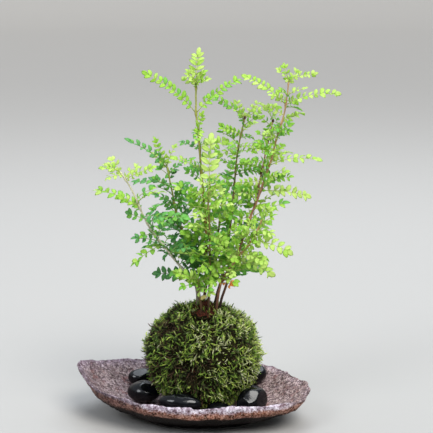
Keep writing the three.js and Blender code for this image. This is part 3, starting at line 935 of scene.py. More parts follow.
# Old patches as a direction from the ball's middle, and how far they reach in millimetres.
OLD_PATCHES = [
    ((-0.66, -0.42, 0.64), 8),
    ((-0.3, -0.95, 0.06), 6),
    ((-0.15, -0.96, -0.15), 7),
    ((0.1, -0.98, 0.1), 4),
    ((0.68, -0.62, 0.38), 5),
    ((0.5, 0.75, 0.4), 9),
    ((-0.6, 0.7, 0.1), 9),
]
SUNNY_SIDE = Vector((0.9, -0.35, 0.15))


def moss_place(direction):
    """Where a direction from the ball's middle meets the moss, and the way out there."""
    across = math.hypot(direction.x, direction.y)
    tilt = direction.z * MOSS_RADIUS / (MOSS_HALF_HEIGHT * across)
    latitude = math.copysign(math.atan(abs(tilt) ** (1 / BALL_SQUARENESS)), tilt)
    radius, height = ball_point(MOSS_RADIUS, MOSS_HALF_HEIGHT, latitude)
    place = Vector((radius * direction.x / across, radius * direction.y / across, height))
    place += Vector((BALL_CENTRE.x, BALL_CENTRE.y, 0))
    out = Vector((direction.x, direction.y, direction.z * (MOSS_RADIUS / MOSS_HALF_HEIGHT) ** 2))
    return place, out.normalized()


def oldness(place):
    """1 in the middle of an old brown patch, and 0 away from all of them."""
    worst = 0
    for direction, reach in OLD_PATCHES:
        middle = moss_place(Vector(direction).normalized())[0]
        full, gone = (share * reach for share in PATCH_FADE)
        worst = max(worst, 1 - rise((place - middle).length, full, gone))
    return worst


def frame_along(direction, roll):
    """A turn that takes +Z to a direction, with a roll about it."""
    turn = Vector((0, 0, 1)).rotation_difference(direction).to_matrix().to_4x4()
    return turn @ Matrix.Rotation(roll, 4, "Z")


def spiral_direction(index):
    """The next direction of a golden-angle spiral down the ball, and its height before the jitter."""
    height = 1 - 2 * (index + 0.5) / MOSS_COUNT
    ring = math.sqrt(1 - height * height)
    turn = GOLDEN_ANGLE * index + draw.gauss(0, SPIRAL_JITTER[0])
    up = height + draw.gauss(0, SPIRAL_JITTER[1])
    return Vector((ring * math.cos(turn), ring * math.sin(turn), up)).normalized(), height


def is_bare(place):
    """Whether a place lies too near the clay, or on the soil, which shows furthest out at the front."""
    if place.z < FLOOR_HEIGHT + MOSS_FLOOR_GAP:
        return True
    if place.z <= BARE_ABOVE:
        return False
    from_stems = math.hypot(place.x - BALL_CENTRE.x, place.y - BALL_CENTRE.y)
    frontness = max(0, (BALL_CENTRE.y - place.y) / max(from_stems, 1))
    return from_stems < COLLAR_RADIUS + BARE_FRONT * frontness**4 + draw.gauss(*BARE_JITTER)


def shoot_way(place, out, middle):
    """The way that a moss shoot points, given the middle of its tuft."""
    splay = place / TUFT_SIZE - middle
    comb = noise.noise_vector(middle * COMB_PATTERN)
    wild = Vector([draw.gauss(0, WILDNESS) for _ in range(3)])
    droop = Vector((0, 0, -DROOP * rise(-out.z, *DROOP_BAND)))
    way = (out * OUTWARD_SHARE + splay * SPLAY_SHARE + comb * COMB_SHARE + wild + droop).normalized()
    if way.dot(out) < LEAST_RISE:
        way = (way + out * (LIFTED_RISE - way.dot(out))).normalized()
    return way


def shoot_size(edge, old):
    """Smaller towards the edge of a tuft and in old patches; a few shoots are long."""
    size = draw.uniform(*SHOOT_SIZES) * (TUFT_SIZES[0] - TUFT_SIZES[1] * rise(edge, *TUFT_EDGE))
    size *= 1 - OLD_SHRINKING * old
    return size * LONG_SIZE if draw.random() < LONG_SHARE else size


def shoot_tint(place, out, tuft, edge, old):
    """From 0 for old brown to 1 for the freshest green; paler on the sunny side as painted light, and darker
    at a tuft's edge as painted shade.
    """
    fresh = FRESHNESS + FRESH_CLOUDS[1] * waves(place, FRESH_CLOUDS[0]) + FRESH_BY_TUFT * tuft
    # Painted light: shoots facing the sun are drawn paler.
    fresh += PAINTED_SUNLIGHT * out.dot(SUNNY_SIDE) + draw.gauss(0, FRESH_JITTER)
    # Painted shade at a tuft's edge, and the real browning of old patches.
    fresh -= EDGE_PAINTED_SHADE * rise(edge, *EDGE_PAINTED_SHADE_BAND) + OLD_LOSS * old
    return min(max(fresh, 0), 1)


def plant_moss():
    """The ball's moss, as one mesh for each band from the top down."""
    bands = [new_mesh_code() for _ in range(MOSS_BANDS)]
    for index in range(MOSS_COUNT):
        direction, height = spiral_direction(index)
        place, out = moss_place(direction)
        if is_bare(place):
            continue
        old = oldness(place)
        distances, middles, *_ = noise.voronoi(place / TUFT_SIZE)
        tuft = noise.noise(middles[0] * HEIGHT_PATTERN)
        way = shoot_way(place, out, middles[0])
        size = shoot_size(distances[0], old)
        root = (place + out * (swelling(place) + TUFT_HEIGHT * tuft - MAT_DEPTH - ROOT_DEPTH)) * MM
        stand = Matrix.Translation(root) @ frame_along(way, draw.uniform(0, math.tau)) @ Matrix.Scale(size, 4)
        tint = shoot_tint(place, out, tuft, distances[0], old)
        band = min(int((1 - height) / 2 * MOSS_BANDS), MOSS_BANDS - 1)
        plant(bands[band], draw.choice(moss_shoots), stand, tint=tint)
    return bands


moss_bands = plant_moss()
print("moss shoots in each band:", [len(band.faces) // len(moss_shoots[0].polygons) for band in moss_bands])

# %% [markdown]
# ## The collar and the strays
# At the top, creeping moss and dead fibres are sprinkled over the soil, up to the stems. They come from
# the same shoots, only smaller, and a noise decides where they are green and where dead. At the sides a
# few long shoots have come loose and hang down; there are so few that each is listed.

# %% Plant the collar and the strays
COLLAR_COUNT = 250
# The collar's height at its edge, and how much higher its middle is, in millimetres.
COLLAR_HEIGHTS = (90, 8)
# Greenness runs from below 0 for dead to above 0 for green: its clouds, the back's gain, a loss and chance.
GREEN_CLOUDS = 6
GREEN_SEED = Vector((5, 1, 0))
GREEN_AT_BACK = 0.15
GREEN_LOSS = 0.1
GREEN_JITTER = 0.18
# Below this greenness, this share of the places stays bare.
BARE_GREENNESS = -0.15
BARE_SHARE = 0.5
# The shoots lean outwards by a mean and a spread, and wander to all sides.
COLLAR_LEAN = (0.25, 0.5)
COLLAR_WANDER = 0.45
COLLAR_RISE = 0.9
GREEN_SIZES = (0.6, 0.95)
DEAD_SIZES = (0.35, 0.6)
GREEN_TINT = (0.45, 0.9)
GREENEST_TINT = 0.62
DEAD_TINT = 0.1
STRAY_TINTS = (0.55, 0.8)
# Long strays, as the direction they grow at, the way they point, and a size.
STRAYS = [
    ((0.98, -0.2, 0.28), (0.8, -0.2, -0.5), 1.7),
    ((0.98, -0.3, 0.2), (0.7, -0.3, -0.75), 1.6),
    ((0.96, -0.1, 0.05), (0.9, 0, -0.3), 1.4),
    ((0.9, -0.35, 0.45), (0.85, -0.2, 0.1), 1.4),
    ((-0.97, -0.2, 0.35), (-0.9, -0.2, 0.3), 1.3),
    ((-0.7, 0.6, 0.3), (-0.6, 0.5, -0.4), 1.6),
    ((0.3, 0.95, 0.1), (0.4, 0.8, -0.3), 1.5),
]


def plant_collar(target):
    """Moss and dead fibres that have crept in over the soil, up to the stems."""
    for index in range(COLLAR_COUNT):
        share = math.sqrt((index + 0.5) / COLLAR_COUNT)
        turn = GOLDEN_ANGLE * index
        outward = Vector((math.cos(turn), math.sin(turn), 0))
        place = Vector((BALL_CENTRE.x, BALL_CENTRE.y, COLLAR_HEIGHTS[0] + COLLAR_HEIGHTS[1] * (1 - share**2)))
        place += COLLAR_RADIUS * share * outward
        green = noise.noise(place / GREEN_CLOUDS + GREEN_SEED)
        green += draw.gauss(GREEN_AT_BACK * outward.y - GREEN_LOSS, GREEN_JITTER)
        if green < BARE_GREENNESS and draw.random() < BARE_SHARE:
            continue
        lean = outward * draw.gauss(*COLLAR_LEAN)
        way = Vector((draw.gauss(0, COLLAR_WANDER), draw.gauss(0, COLLAR_WANDER), COLLAR_RISE)) + lean
        stand = Matrix.Translation(place * MM) @ frame_along(way.normalized(), draw.uniform(0, math.tau))
        tint = GREEN_TINT[0] + GREEN_TINT[1] * green if green > 0 else DEAD_TINT * draw.random()
        size = draw.uniform(*(GREEN_SIZES if green > 0 else DEAD_SIZES))
        stand @= Matrix.Scale(size, 4)
        plant(target, draw.choice(moss_shoots), stand, tint=min(tint, GREENEST_TINT))


def plant_strays(target):
    """Long shoots that have come loose from the moss and hang off its side."""
    for direction, way, size in STRAYS:
        place, out = moss_place(Vector(direction).normalized())
        root = (place + out * (swelling(place) - MAT_DEPTH)) * MM
        turn = frame_along(Vector(way).normalized(), draw.uniform(0, math.tau))
        stand = Matrix.Translation(root) @ turn @ Matrix.Scale(size, 4)
        plant(target, draw.choice(moss_shoots), stand, tint=draw.uniform(*STRAY_TINTS))


plant_collar(moss_bands[0])
plant_strays(moss_bands[1])
print("places on the collar:", COLLAR_COUNT, "strays:", len(STRAYS))

# %% [markdown]
# ## Living moss
# A shoot is dark and brownish at its foot, partly its old stem and partly painted shade deep in the mat,
# green in the middle and yellow green at its growing tip, where the freshest are near white as a painted
# highlight. The value along the shoot drives that, and the tint of each copy shifts the whole shoot
# between old olive and fresh lime. Moss leaves are one cell thick and glow when light comes through, so a
# little of the light passes through them.

# %% Moss material
# Tones from the oldest shoot, tint 0, to the freshest, tint 1. The darkest foot tones are partly painted
# shade deep in the mat, and the palest tip tones partly a painted highlight on lit tips.
MOSS_FOOT_AND_SHADE_TONES = [(0, (34, 26, 18)), (0.3, (26, 28, 14)), (0.6, (42, 52, 22)), (1, (84, 98, 44))]
MOSS_TIP_AND_HIGHLIGHT_TONES = [
    (0, (106, 80, 58)),
    (0.14, (106, 100, 62)),
    (0.3, (92, 122, 60)),
    (0.54, (162, 206, 80)),
    (0.8, (228, 246, 120)),
    (1, (252, 254, 206)),
]


def living_moss():
    material = new_material("living_moss")
    along = value_of(material, "along")
    tint = value_of(material, "tint")
    foot = ramp(material, tint, *MOSS_FOOT_AND_SHADE_TONES)
    tip = ramp(material, tint, *MOSS_TIP_AND_HIGHLIGHT_TONES)
    climb = ramp(material, along, (0.1, 0.0), (0.85, 1.0))
    tone = mix(material, climb, foot, tip)
    body = surface(material, Base_Color=tone, Roughness=0.5, Specular_IOR_Level=0.35)
    return finish_material(material, let_light_through(material, body, tone, 0.25))


moss_finish = living_moss()
for moss_band, name in zip(moss_bands, ("moss_crown", "moss_belt", "moss_skirt")):
    hand_over(moss_band, name, [moss_finish], "moss")

# %% [markdown]
# ## The shrub's shoots
# The shrub is nine leafy stems, of which one forks. A table holds what was read off the photograph and
# built into the solids: for each shoot a route, and leaves that start at a station on it, counted in
# route points. The same numbers are used again here, so every leaf stays where its solid is. The rest of
# a row is for the finish: bark, freshness, and small leaves that fill the gaps.

# %% The shrub's shoots
# Each shoot's radius and freshness at its foot and tip, and its bark. Fill says between which stations
# its filling leaves grow, and how many. The route is in millimetres. A leaf is its station on the route,
# its reach along each axis and, if it is a lush one, how much larger than usual its leaflets are.
SHOOTS = [
    {
        "name": "main", "radius": (1.45, 0.65), "bark": "olive",
        "fresh": (0.6, 0.82), "fill": (2.15, 7.0, 34),
        "route": [(7, 0, 74), (6, 0, 96), (8, 0, 118), (8, 0, 140), (8, 0, 160), (6, 0, 186), (4, 0, 212),
                  (2, 0, 243), (0, 0, 257), (0, 0, 281)],
        "leaves": [
            (9.0, 2, 9, 27, 1.5), (8.9, -9, -5, 11), (8.9, 8, -6, 10), (8.0, -43, -5, 34), (8.0, 37, 12, 27),
            (7.0, -2, -28, -7), (6.8, 4, -9, 22), (6.5, 23, 26, 3), (5.9, -25, -9, 12), (4.3, -27, -9, 34),
            (5.1, 23, -16, 1), (3.6, -21, -24, 9), (3.2, 28, -18, 9), (3.8, 0, 34, 19), (3.0, -12, -25, -1),
        ],
    },
    {
        "name": "left", "radius": (1.25, 0.6), "bark": "silver",
        "fresh": (0.14, 0.84), "fill": (2.3, 6.6, 22),
        "route": [(4, -3, 76), (1, -4, 98), (-1, -7, 116), (-13, -11, 132), (-24, -14, 147), (-35, -16, 161),
                  (-44, -18, 179), (-52, -19, 198), (-61, -20, 212)],
        "leaves": [
            (8.0, -12, -3, 6), (7.5, 25, -9, 11), (6.2, -38, 8, 12), (6.4, 23, -14, 10), (5.5, 35, -24, 7),
            (4.3, -24, -9, -17), (3.7, 20, -20, 9), (4.9, -11, -10, 0), (4.6, 0, 26, 16), (2.7, -12, -6, -3),
        ],
    },
    {
        "name": "left_back", "radius": (1.2, 0.6), "bark": "olive",
        "fresh": (0.28, 0.48), "fill": (2.0, 5.7, 26),
        "route": [(4, 5, 76), (3, 6, 97), (-2, 14, 123), (-11, 20, 152), (-17, 24, 170), (-21, 27, 189),
                  (-25, 30, 209)],
        "leaves": [
            (6.0, -11, 4, 24), (5.9, -35, -8, 25), (5.7, 23, 8, 11), (5.2, -33, 10, 0), (4.4, -17, 14, -6),
            (3.3, -19, 16, -2), (4.1, 10, 28, 15), (2.6, -21, 18, -13),
        ],
    },
    {
        "name": "front", "radius": (1.1, 0.6), "bark": "brown",
        "fresh": (0.75, 1.1), "fill": (1.9, 4.6, 24),
        "route": [(9, -7, 77), (10, -9, 98), (11, -15, 130), (11, -18, 164), (10, -18, 185), (11, -17, 201)],
        "leaves": [
            (5.0, 2, 10, 40, 1.35), (4.9, 10, -9, 10), (4.9, -10, -8, 6), (3.8, 20, -12, 5),
            (2.9, -16, -16, 9), (2.5, 23, -16, -7),
        ],
    },
    {
        "name": "middle", "radius": (1.1, 0.5), "bark": "brown",
        "fresh": (0.6, 0.8), "fill": (1.85, 5.9, 28),
        "route": [(12, 6, 76), (15, 8, 96), (23, 16, 127), (29, 22, 165), (32, 25, 200), (35, 26, 226),
                  (40, 26, 250)],
        "leaves": [
            (6.0, -34, -5, 19), (6.0, 30, -4, 9), (5.4, -18, -11, 7), (5.0, -17, -8, -8), (5.0, 19, -10, 0),
            (4.2, 18, -9, 11), (5.5, 14, 15, 6), (3.8, -17, 12, -7), (3.5, 15, 22, 7),
        ],
    },
    {
        "name": "right", "radius": (1.2, 0.5), "bark": "red",
        "fresh": (0.75, 0.95), "fill": (2.5, 9.6, 42),
        "route": [(16, -1, 78), (20, -1, 99), (24, 0, 112), (34, 2, 139), (43, 3, 166), (53, 2, 193),
                  (57, 1, 206), (61, 0, 218), (65, 0, 234), (72, 0, 259), (75, 0, 283)],
        "leaves": [
            (10.0, 23, -4, 6), (10.0, -4, 4, 14), (9.2, 44, -6, 9), (9.2, -35, 12, 22), (8.6, 20, 17, 6),
            (8.1, -12, -12, 5), (7.1, 18, 14, 3), (6.7, 42, -8, 5), (5.3, 21, -13, 13), (5.0, 41, 8, -7),
            (4.1, 32, -4, 15), (3.7, -16, -9, 15), (3.1, 25, 12, -11),
        ],
    },
    {
        "name": "right", "radius": (0.9, 0.5), "bark": "red",
        "fresh": (0.75, 0.95), "fill": (0.6, 3.9, 10),
        "route": [(43, 3, 166), (48, 6, 180), (54, 10, 208), (59, 12, 232), (63, 13, 249)],
        "leaves": [
            (4.0, -12, -3, 15), (3.0, -11, -8, 9), (2.1, -17, -2, 3), (1.5, -12, -10, 5), (3.5, 13, 16, -5),
        ],
    },
    {
        "name": "right_low", "radius": (1.2, 0.6), "bark": "red",
        "fresh": (0.85, 1.0), "fill": (2.25, 4.7, 20),
        "route": [(15, -6, 78), (17, -8, 99), (21, -13, 120), (32, -19, 139), (47, -24, 159), (53, -26, 174)],
        "leaves": [
            (5.0, 10, -4, 11), (4.4, 13, -9, -3), (3.9, 32, -4, -11), (3.3, 21, -13, -6), (3.0, 31, -6, -12),
            (3.9, -17, -14, 11), (2.2, 11, -12, -5), (2.2, -11, -12, -5),
        ],
    },
    {
        "name": "back", "radius": (1.2, 0.6), "bark": "brown",
        "fresh": (0.45, 0.7), "fill": (1.8, 3.8, 12),
        "route": [(9, 10, 77), (10, 13, 99), (14, 28, 125), (19, 38, 157), (23, 44, 187)],
        "leaves": [
            (4.0, 10, 14, 24), (3.6, -19, 16, 9), (3.1, 22, 26, 4), (2.6, -19, 28, 0), (2.3, 18, 26, 2),
        ],
    },
    {
        "name": "low", "radius": (1.1, 0.6), "bark": "brown",
        "fresh": (0.7, 0.9), "fill": (2.05, 2.95, 12),
        "route": [(5, -8, 77), (4, -10, 98), (2, -15, 112), (1, -19, 124)],
        "leaves": [(3.0, 8, -13, 12), (2.8, -19, -6, 9), (2.0, 13, -9, 0)],
    },
]
print("leaves on the shoots:", sum(len(shoot["leaves"]) for shoot in SHOOTS))

# %% [markdown]
# ## Stems and leaf ribs
# A stem is a tube that follows a smooth route and thins towards its tip, with a slight knot wherever a
# leaf leaves it. It is grown the way a modeller would: a circle is extruded along the route, ring after
# ring, and each new ring is turned and scaled by one matrix. The ribs of the leaves are the same tubes,
# only finer.

# %% Grow tubes
BARK, RIB, BLADE = range(3)
STEM_SIDES = 9
RIB_SIDES = 5
RINGS_PER_POINT = 12
KNOT_HEIGHT = 0.45
KNOT_REACH = 0.09
# A size and a depth, in millimetres, for the way a stem wanders and for its bark.
STEM_SWAY = (9, 0.35)
BARK_WAVES = (3, 0.08)
TIP_THINNING = 0.5


def along_route(route, station):
    """A point of the smooth curve through a route, at a station counted in route points."""
    last = len(route) - 1
    before = min(int(station), last - 1)
    points = [Vector(point) for point in route]
    first = points[before - 1] if before > 0 else 2 * points[0] - points[1]
    end = points[before + 2] if before + 2 <= last else 2 * points[last] - points[last - 1]
    near = (first, points[before], points[before + 1], end)
    return Vector([between([point[axis] for point in near], station - before) for axis in range(3)])


def tube(path, radii, sides, material_index, tint=0.5):
    """A closed tube grown along a path, ring after ring, as a mesh in metres."""
    bm = new_mesh_code()
    along, tint_layer = (bm.verts.layers.float[name] for name in VALUES)
    ways = [(after - before).normalized() for before, after in zip(path[:-1], path[1:])]
    ways = [ways[0]] + [(a + b).normalized() for a, b in zip(ways, ways[1:])] + [ways[-1]]
    turn = Vector((0, 0, 1)).rotation_difference(ways[0]).to_matrix().to_4x4()
    stand = Matrix.Translation(path[0]) @ turn @ Matrix.Scale(radii[0], 4)
    bmesh.ops.create_circle(bm, cap_ends=True, segments=sides, radius=1, matrix=stand)
    rim = bm.edges[:]
    for step in range(1, len(path)):
        grown = bmesh.ops.extrude_edge_only(bm, edges=rim)["geom"]
        corners = [item for item in grown if isinstance(item, bmesh.types.BMVert)]
        rim = [item for item in grown if isinstance(item, bmesh.types.BMEdge)]
        rim = [edge for edge in rim if all(corner in corners for corner in edge.verts)]
        turn = ways[step - 1].rotation_difference(ways[step]).to_matrix().to_4x4() @ turn
        after = Matrix.Translation(path[step]) @ turn @ Matrix.Scale(radii[step], 4)
        bmesh.ops.transform(bm, matrix=after @ stand.inverted(), verts=corners)
        for corner in corners:
            corner[along] = step / (len(path) - 1)
        stand = after
    bmesh.ops.contextual_create(bm, geom=rim)
    bmesh.ops.recalc_face_normals(bm, faces=bm.faces)
    bmesh.ops.scale(bm, vec=(MM, MM, MM), verts=bm.verts)
    for vertex in bm.verts:
        vertex[tint_layer] = tint
    return as_shape(bm, "tube", material_index)


def grow(target, shape):
    target.from_mesh(shape)
    bpy.data.meshes.remove(shape)


def grow_stem(target, shoot):
    """A stem along its shoot's route, with a knot at every leaf."""
    route = shoot["route"]
    last = len(route) - 1
    rings = last * RINGS_PER_POINT
    size, sway = STEM_SWAY
    path = []
    radii = []
    for ring in range(rings + 1):
        station = last * ring / rings
        knots = [math.exp(-(((station - leaf[0]) / KNOT_REACH) ** 2)) for leaf in shoot["leaves"]]
        place = along_route(route, station)
        path.append(place + Vector((waves(place, size, 1), waves(place, size, 4), 0)) * sway)
        thick = part_way(shoot["radius"], ring / rings) + KNOT_HEIGHT * min(sum(knots), 1)
        radii.append(thick + BARK_WAVES[1] * waves(place, BARK_WAVES[0], 2))
    radii[-1] *= TIP_THINNING
    grow(target, tube(path, radii, STEM_SIDES, BARK))

# %% [markdown]
# ## One leaflet
# A leaflet is widest beyond its middle, with a blunt tip, shallow round teeth, a raised fold along its
# midrib and a slightly drooping end. It is a grid that a formula bends into that form. The copy under it
# is turned over and the two are merged at their edge, so the blade is closed and thin as a lens, with no
# flat rim to pay for.

# %% Shape the leaflets
LEAFLET_ROWS = 6
LEAFLET_COLUMNS = 4
# Half widths from the stalk to the blunt tip, as shares of the widest.
LEAFLET_WIDTHS = (0.12, 0.66, 0.98, 1, 0.9, 0.66, 0.22)
LEAFLET_WIDTH = 0.31
LEAFLET_THICKNESS = 0.022
TOOTH = 0.09
# How far out a point must lie to count as the edge, as a share of the half width.
LEAFLET_EDGE = 0.99
FOLD_CURVE = 1.4
LEAFLET_CROWN = 0.08
LEAFLET_MERGE = 1e-5
# Each form: how far the sides fold up, how far the tip droops, and a twist, as shares of the length.
LEAFLET_FORMS = [
    (0.3, 0.1, 0.0),
    (0.45, 0.04, 0.1),
    (0.18, 0.2, -0.1),
    (0.35, -0.06, 0.15),
    (0.25, 0.14, -0.2),
]


def leaflet(fold, droop, twist):
    """A leaflet of length 1 along +X from the origin, facing +Z."""
    bm = new_mesh_code()
    along = bm.verts.layers.float["along"]
    bmesh.ops.create_grid(bm, x_segments=LEAFLET_ROWS, y_segments=LEAFLET_COLUMNS, size=0.5, calc_uvs=True)
    upper = bm.verts[:]
    under = bmesh.ops.duplicate(bm, geom=bm.verts[:] + bm.edges[:] + bm.faces[:])["geom"]
    bmesh.ops.reverse_faces(bm, faces=[item for item in under if isinstance(item, bmesh.types.BMFace)])
    for vertex in bm.verts:
        share = vertex.co.x + 0.5
        aside = 2 * vertex.co.y
        row = round(share * LEAFLET_ROWS)
        half = LEAFLET_WIDTH * LEAFLET_WIDTHS[row]
        if abs(aside) > LEAFLET_EDGE and row % 2 and row < LEAFLET_ROWS:
            half *= 1 - TOOTH
        face = 1 if vertex in upper else -1
        body = LEAFLET_THICKNESS * face * (1 - aside * aside) * math.sin(math.pi * share)
        lift = fold * half * abs(aside) ** FOLD_CURVE - droop * share * share + twist * aside * half * share
        lift += LEAFLET_CROWN * math.sin(math.pi * share)
        vertex[along] = share
        vertex.co = Vector((share, aside * half, lift + body))
    bmesh.ops.remove_doubles(bm, verts=bm.verts, dist=LEAFLET_MERGE)
    return as_shape(bm, "leaflet", BLADE)


leaflets = [leaflet(*form) for form in LEAFLET_FORMS]
print("faces in one leaflet:", len(leaflets[0].polygons))

# %% [markdown]
# ## Pinnate leaves
# Each leaf is an arched rib with pairs of leaflets and one at its end. The solid's leaf shows where the
# rib runs and which way it faces; the real one has its pairs closer together, about two thirds of a
# leaflet apart. A lush leaf has longer, slimmer leaflets at the same spacing. Small random turns keep two
# leaflets from ever lying alike.

# %% Grow the leaves
LIGHT = Vector((0, -0.8, 1))
LEAF_ARCH = 0.22
# How far apart the pairs are, as a share of a leaflet's length.
PAIR_SHARE = 0.66
FIRST_PAIR = 0.16
LEAFLET_LENGTHS = (6, 8)
LEAF_ROLL = 0.22
FILL_ROLL = 0.7
LEAFLET_SHARE = 0.23
# Leaflets are old below the first height and young above the second: shares of their length and width.
AGE_HEIGHTS = (130, 240)
AGE_LENGTHS = (0.98, 0.78)
AGE_WIDTHS = (1.1, 1.0)
LUSH_SLIMNESS = 0.6
# From the first pair to the last: the angle from the rib, and the size.
LEAFLET_SPREAD = (math.radians(66), math.radians(48))
FIRST_PAIR_SIZE = 0.8
LAST_PAIR_LOSS = 0.12
LEAFLET_RISE = 0.15
# How far before the leaf's end its rib stops, in leaflets, and where on the rib its last pair sits.
RIB_STOP = 0.8
LAST_PAIR = 0.95
RIB_RADIUS = (0.42, 0.22)
RIB_RINGS = 9
RIB_STEP = 0.01
# What chance adds to each leaflet's way along each axis, its roll and its tint, and to the sizes of a
# pair, of each leaflet in it and of its width.
WAY_JITTERS = (0.11, 0.11, 0.13)
ROLL_JITTER = 0.34
TINT_JITTER = 0.09
PAIR_SIZES = (0.9, 1.08)
TWIN_SIZES = (0.93, 1.07)
LEAFLET_WIDTH_SHARES = (0.88, 1.1)


def leaf_rib(base, reach, roll):
    """The arched rib's points and its sideways direction."""
    side = Matrix.Rotation(roll, 3, reach) @ reach.cross(LIGHT).normalized()
    crown = side.cross(reach).normalized()
    bend = base + reach / 2 + crown * LEAF_ARCH * reach.length

    def point(share):
        rest = 1 - share
        return rest * rest * base + 2 * rest * share * bend + share * share * (base + reach)

    return point, side


def set_leaflet(target, root, way, normal, size, broad, tint):
    """Puts one leaflet on a rib, pointing along way and facing normal, with small random turns."""
    way = (way + Vector([draw.gauss(0, jitter) for jitter in WAY_JITTERS])).normalized()
    across = normal.cross(way).normalized()
    face = way.cross(across).normalized()
    turn = Matrix((way, across, face)).transposed().to_4x4()
    roll = Matrix.Rotation(draw.gauss(0, ROLL_JITTER), 4, "X")
    width = Matrix.Diagonal((1, broad * draw.uniform(*LEAFLET_WIDTH_SHARES), 1, 1))
    stand = Matrix.Translation(root * MM) @ turn @ roll @ width @ Matrix.Scale(size * MM, 4)
    shape = draw.choice(leaflets)
    plant(target, shape, stand, tint=min(max(tint + draw.gauss(0, TINT_JITTER), 0), 1))


def leaflet_size(base, length, lush):
    """The length of a leaf's leaflets in millimetres, and their breadth as a share of the usual."""
    youth = rise(base.z, *AGE_HEIGHTS)
    size = min(max(LEAFLET_SHARE * length, LEAFLET_LENGTHS[0]), LEAFLET_LENGTHS[1])
    return size * lush * part_way(AGE_LENGTHS, youth), part_way(AGE_WIDTHS, youth) / lush**LUSH_SLIMNESS


def grow_leaf(target, base, reach, roll, fresh, lush=1):
    """A whole leaf: its rib, the pairs of leaflets along it and the one at its end."""
    point, side = leaf_rib(base, reach, roll)
    size, broad = leaflet_size(base, reach.length, lush)
    rib_end = 1 - RIB_STOP * size / reach.length
    shares = [ring / (RIB_RINGS - 1) for ring in range(RIB_RINGS)]
    radii = [part_way(RIB_RADIUS, share) for share in shares]
    grow(target, tube([point(rib_end * share) for share in shares], radii, RIB_SIDES, RIB, fresh))
    pairs = max(2, round(reach.length * rib_end * (1 - FIRST_PAIR) / (PAIR_SHARE * size / lush)))
    for pair in range(pairs):
        done = pair / (pairs - 1)
        share = rib_end * part_way((FIRST_PAIR, LAST_PAIR), done)
        tangent = (point(share + RIB_STEP) - point(share - RIB_STEP)).normalized()
        normal = side.cross(tangent).normalized()
        spread = part_way(LEAFLET_SPREAD, done)
        grown = FIRST_PAIR_SIZE if pair == 0 and pairs > 2 else 1 - LAST_PAIR_LOSS * pair / pairs
        grown *= size * draw.uniform(*PAIR_SIZES)
        for hand in (-1, 1):
            way = tangent * math.cos(spread) + side * hand * math.sin(spread) + normal * LEAFLET_RISE
            set_leaflet(target, point(share), way, normal, grown * draw.uniform(*TWIN_SIZES), broad, fresh)
    tangent = (point(rib_end) - point(rib_end - 2 * RIB_STEP)).normalized()
    set_leaflet(target, point(rib_end), tangent, side.cross(tangent).normalized(), size, broad, fresh)

# %% [markdown]
# ## Bark
# Young shoots of one shrub differ: the oldest are olive brown, one is silvery tan, and those in the sun
# are reddish. All of them start dark and woody at the soil and turn paler and greener towards their tips,
# which the value along the stem drives.

# %% Bark material
# Tones at the foot, above it and near the tip.
BARK_PLACES = (0.08, 0.35, 0.95)
BARKS = {
    "olive": ((66, 44, 28), (150, 110, 52), (176, 182, 84)),
    "silver": ((78, 62, 50), (228, 218, 198), (222, 218, 176)),
    "brown": ((48, 32, 25), (128, 92, 62), (156, 152, 84)),
    "red": ((58, 37, 30), (186, 128, 98), (206, 164, 116)),
}


def bark(name, tones):
    material = new_material("bark_" + name)
    place = millimetres(material, (1, 1, 0.35))
    grain = cloud(material, place, 0.8, 4, 0.6)
    climb = ramp(material, value_of(material, "along"), *zip(BARK_PLACES, tones))
    shade = ramp(material, grain, (0.35, 0.5), (0.65, 1.0))
    tone = mix(material, 1.0, climb, shade, "MULTIPLY")
    relief = bump(material, grain, 0.2)
    return finish_material(material, surface(material, Base_Color=tone, Roughness=0.7, Normal=relief))


barks = {name: bark(name, tones) for name, tones in BARKS.items()}
print("kinds of bark:", len(barks))

# %% [markdown]
# ## Green leaves
# A leaf looks bright because light reaches it twice: some is scattered at its face, and some shines
# through from behind and comes out yellower. A Principled shader for the satin face is mixed with a
# Translucent one for the glow. The leaflet's own map puts a pale midrib and slanting side veins in the
# right place, and the tint of each leaf runs from deep bluish green to the pale lime of new growth.

# %% Leaf material
LEAF_TONES = [
    (0.0, (78, 142, 90)),
    (0.25, (106, 182, 112)),
    (0.5, (134, 210, 92)),
    (0.75, (190, 236, 88)),
    (1.0, (230, 252, 148)),
]
VEIN_TONE = (214, 226, 150)
VEIN_STRENGTH = 0.24
# Measures on the leaflet's map: where the midrib fades out and is full, how far the side veins slant
# forward, how many there are and how wide each is.
MIDRIB = (0.05, 0.015)
VEIN_SLANT = -0.55
VEIN_COUNT = 9.0
VEIN_WIDTH = 0.16


def veins(material):
    """Where the leaflet's midrib and side veins run, from 0 to 1."""
    spot = shader(material, "UVMap", uv_map="UVMap").outputs["UV"]
    parts = shader(material, "SeparateXYZ", {"Vector": spot}).outputs
    aside = calculate(material, "SUBTRACT", parts["Y"], 0.5)
    aside = calculate(material, "ABSOLUTE", aside)
    midrib = wave_between(material, aside, *MIDRIB)
    slant = calculate(material, "MULTIPLY_ADD", aside, VEIN_SLANT, parts["X"])
    rows = calculate(material, "MULTIPLY", slant, VEIN_COUNT)
    rows = calculate(material, "PINGPONG", rows, 1.0)
    side = wave_between(material, rows, VEIN_WIDTH, 0.0)
    return calculate(material, "MAXIMUM", midrib, side)


def green_leaf():
    material = new_material("green_leaf")
    place = millimetres(material)
    tone = ramp(material, value_of(material, "tint"), *LEAF_TONES)
    lines = veins(material)
    deep = mix(material, 0.2, tone, (56, 110, 56))
    tone = mix(material, cloud(material, place, 3, 3), tone, deep)
    tone = mix(material, mix(material, lines, 0.0, VEIN_STRENGTH), tone, VEIN_TONE)
    relief = bump(material, lines, -0.06)
    face = surface(material, Base_Color=tone, Roughness=0.45, Normal=relief, Specular_IOR_Level=0.22)
    through = mix(material, 0.5, tone, (206, 234, 108))
    return finish_material(material, let_light_through(material, face, through, 0.45))


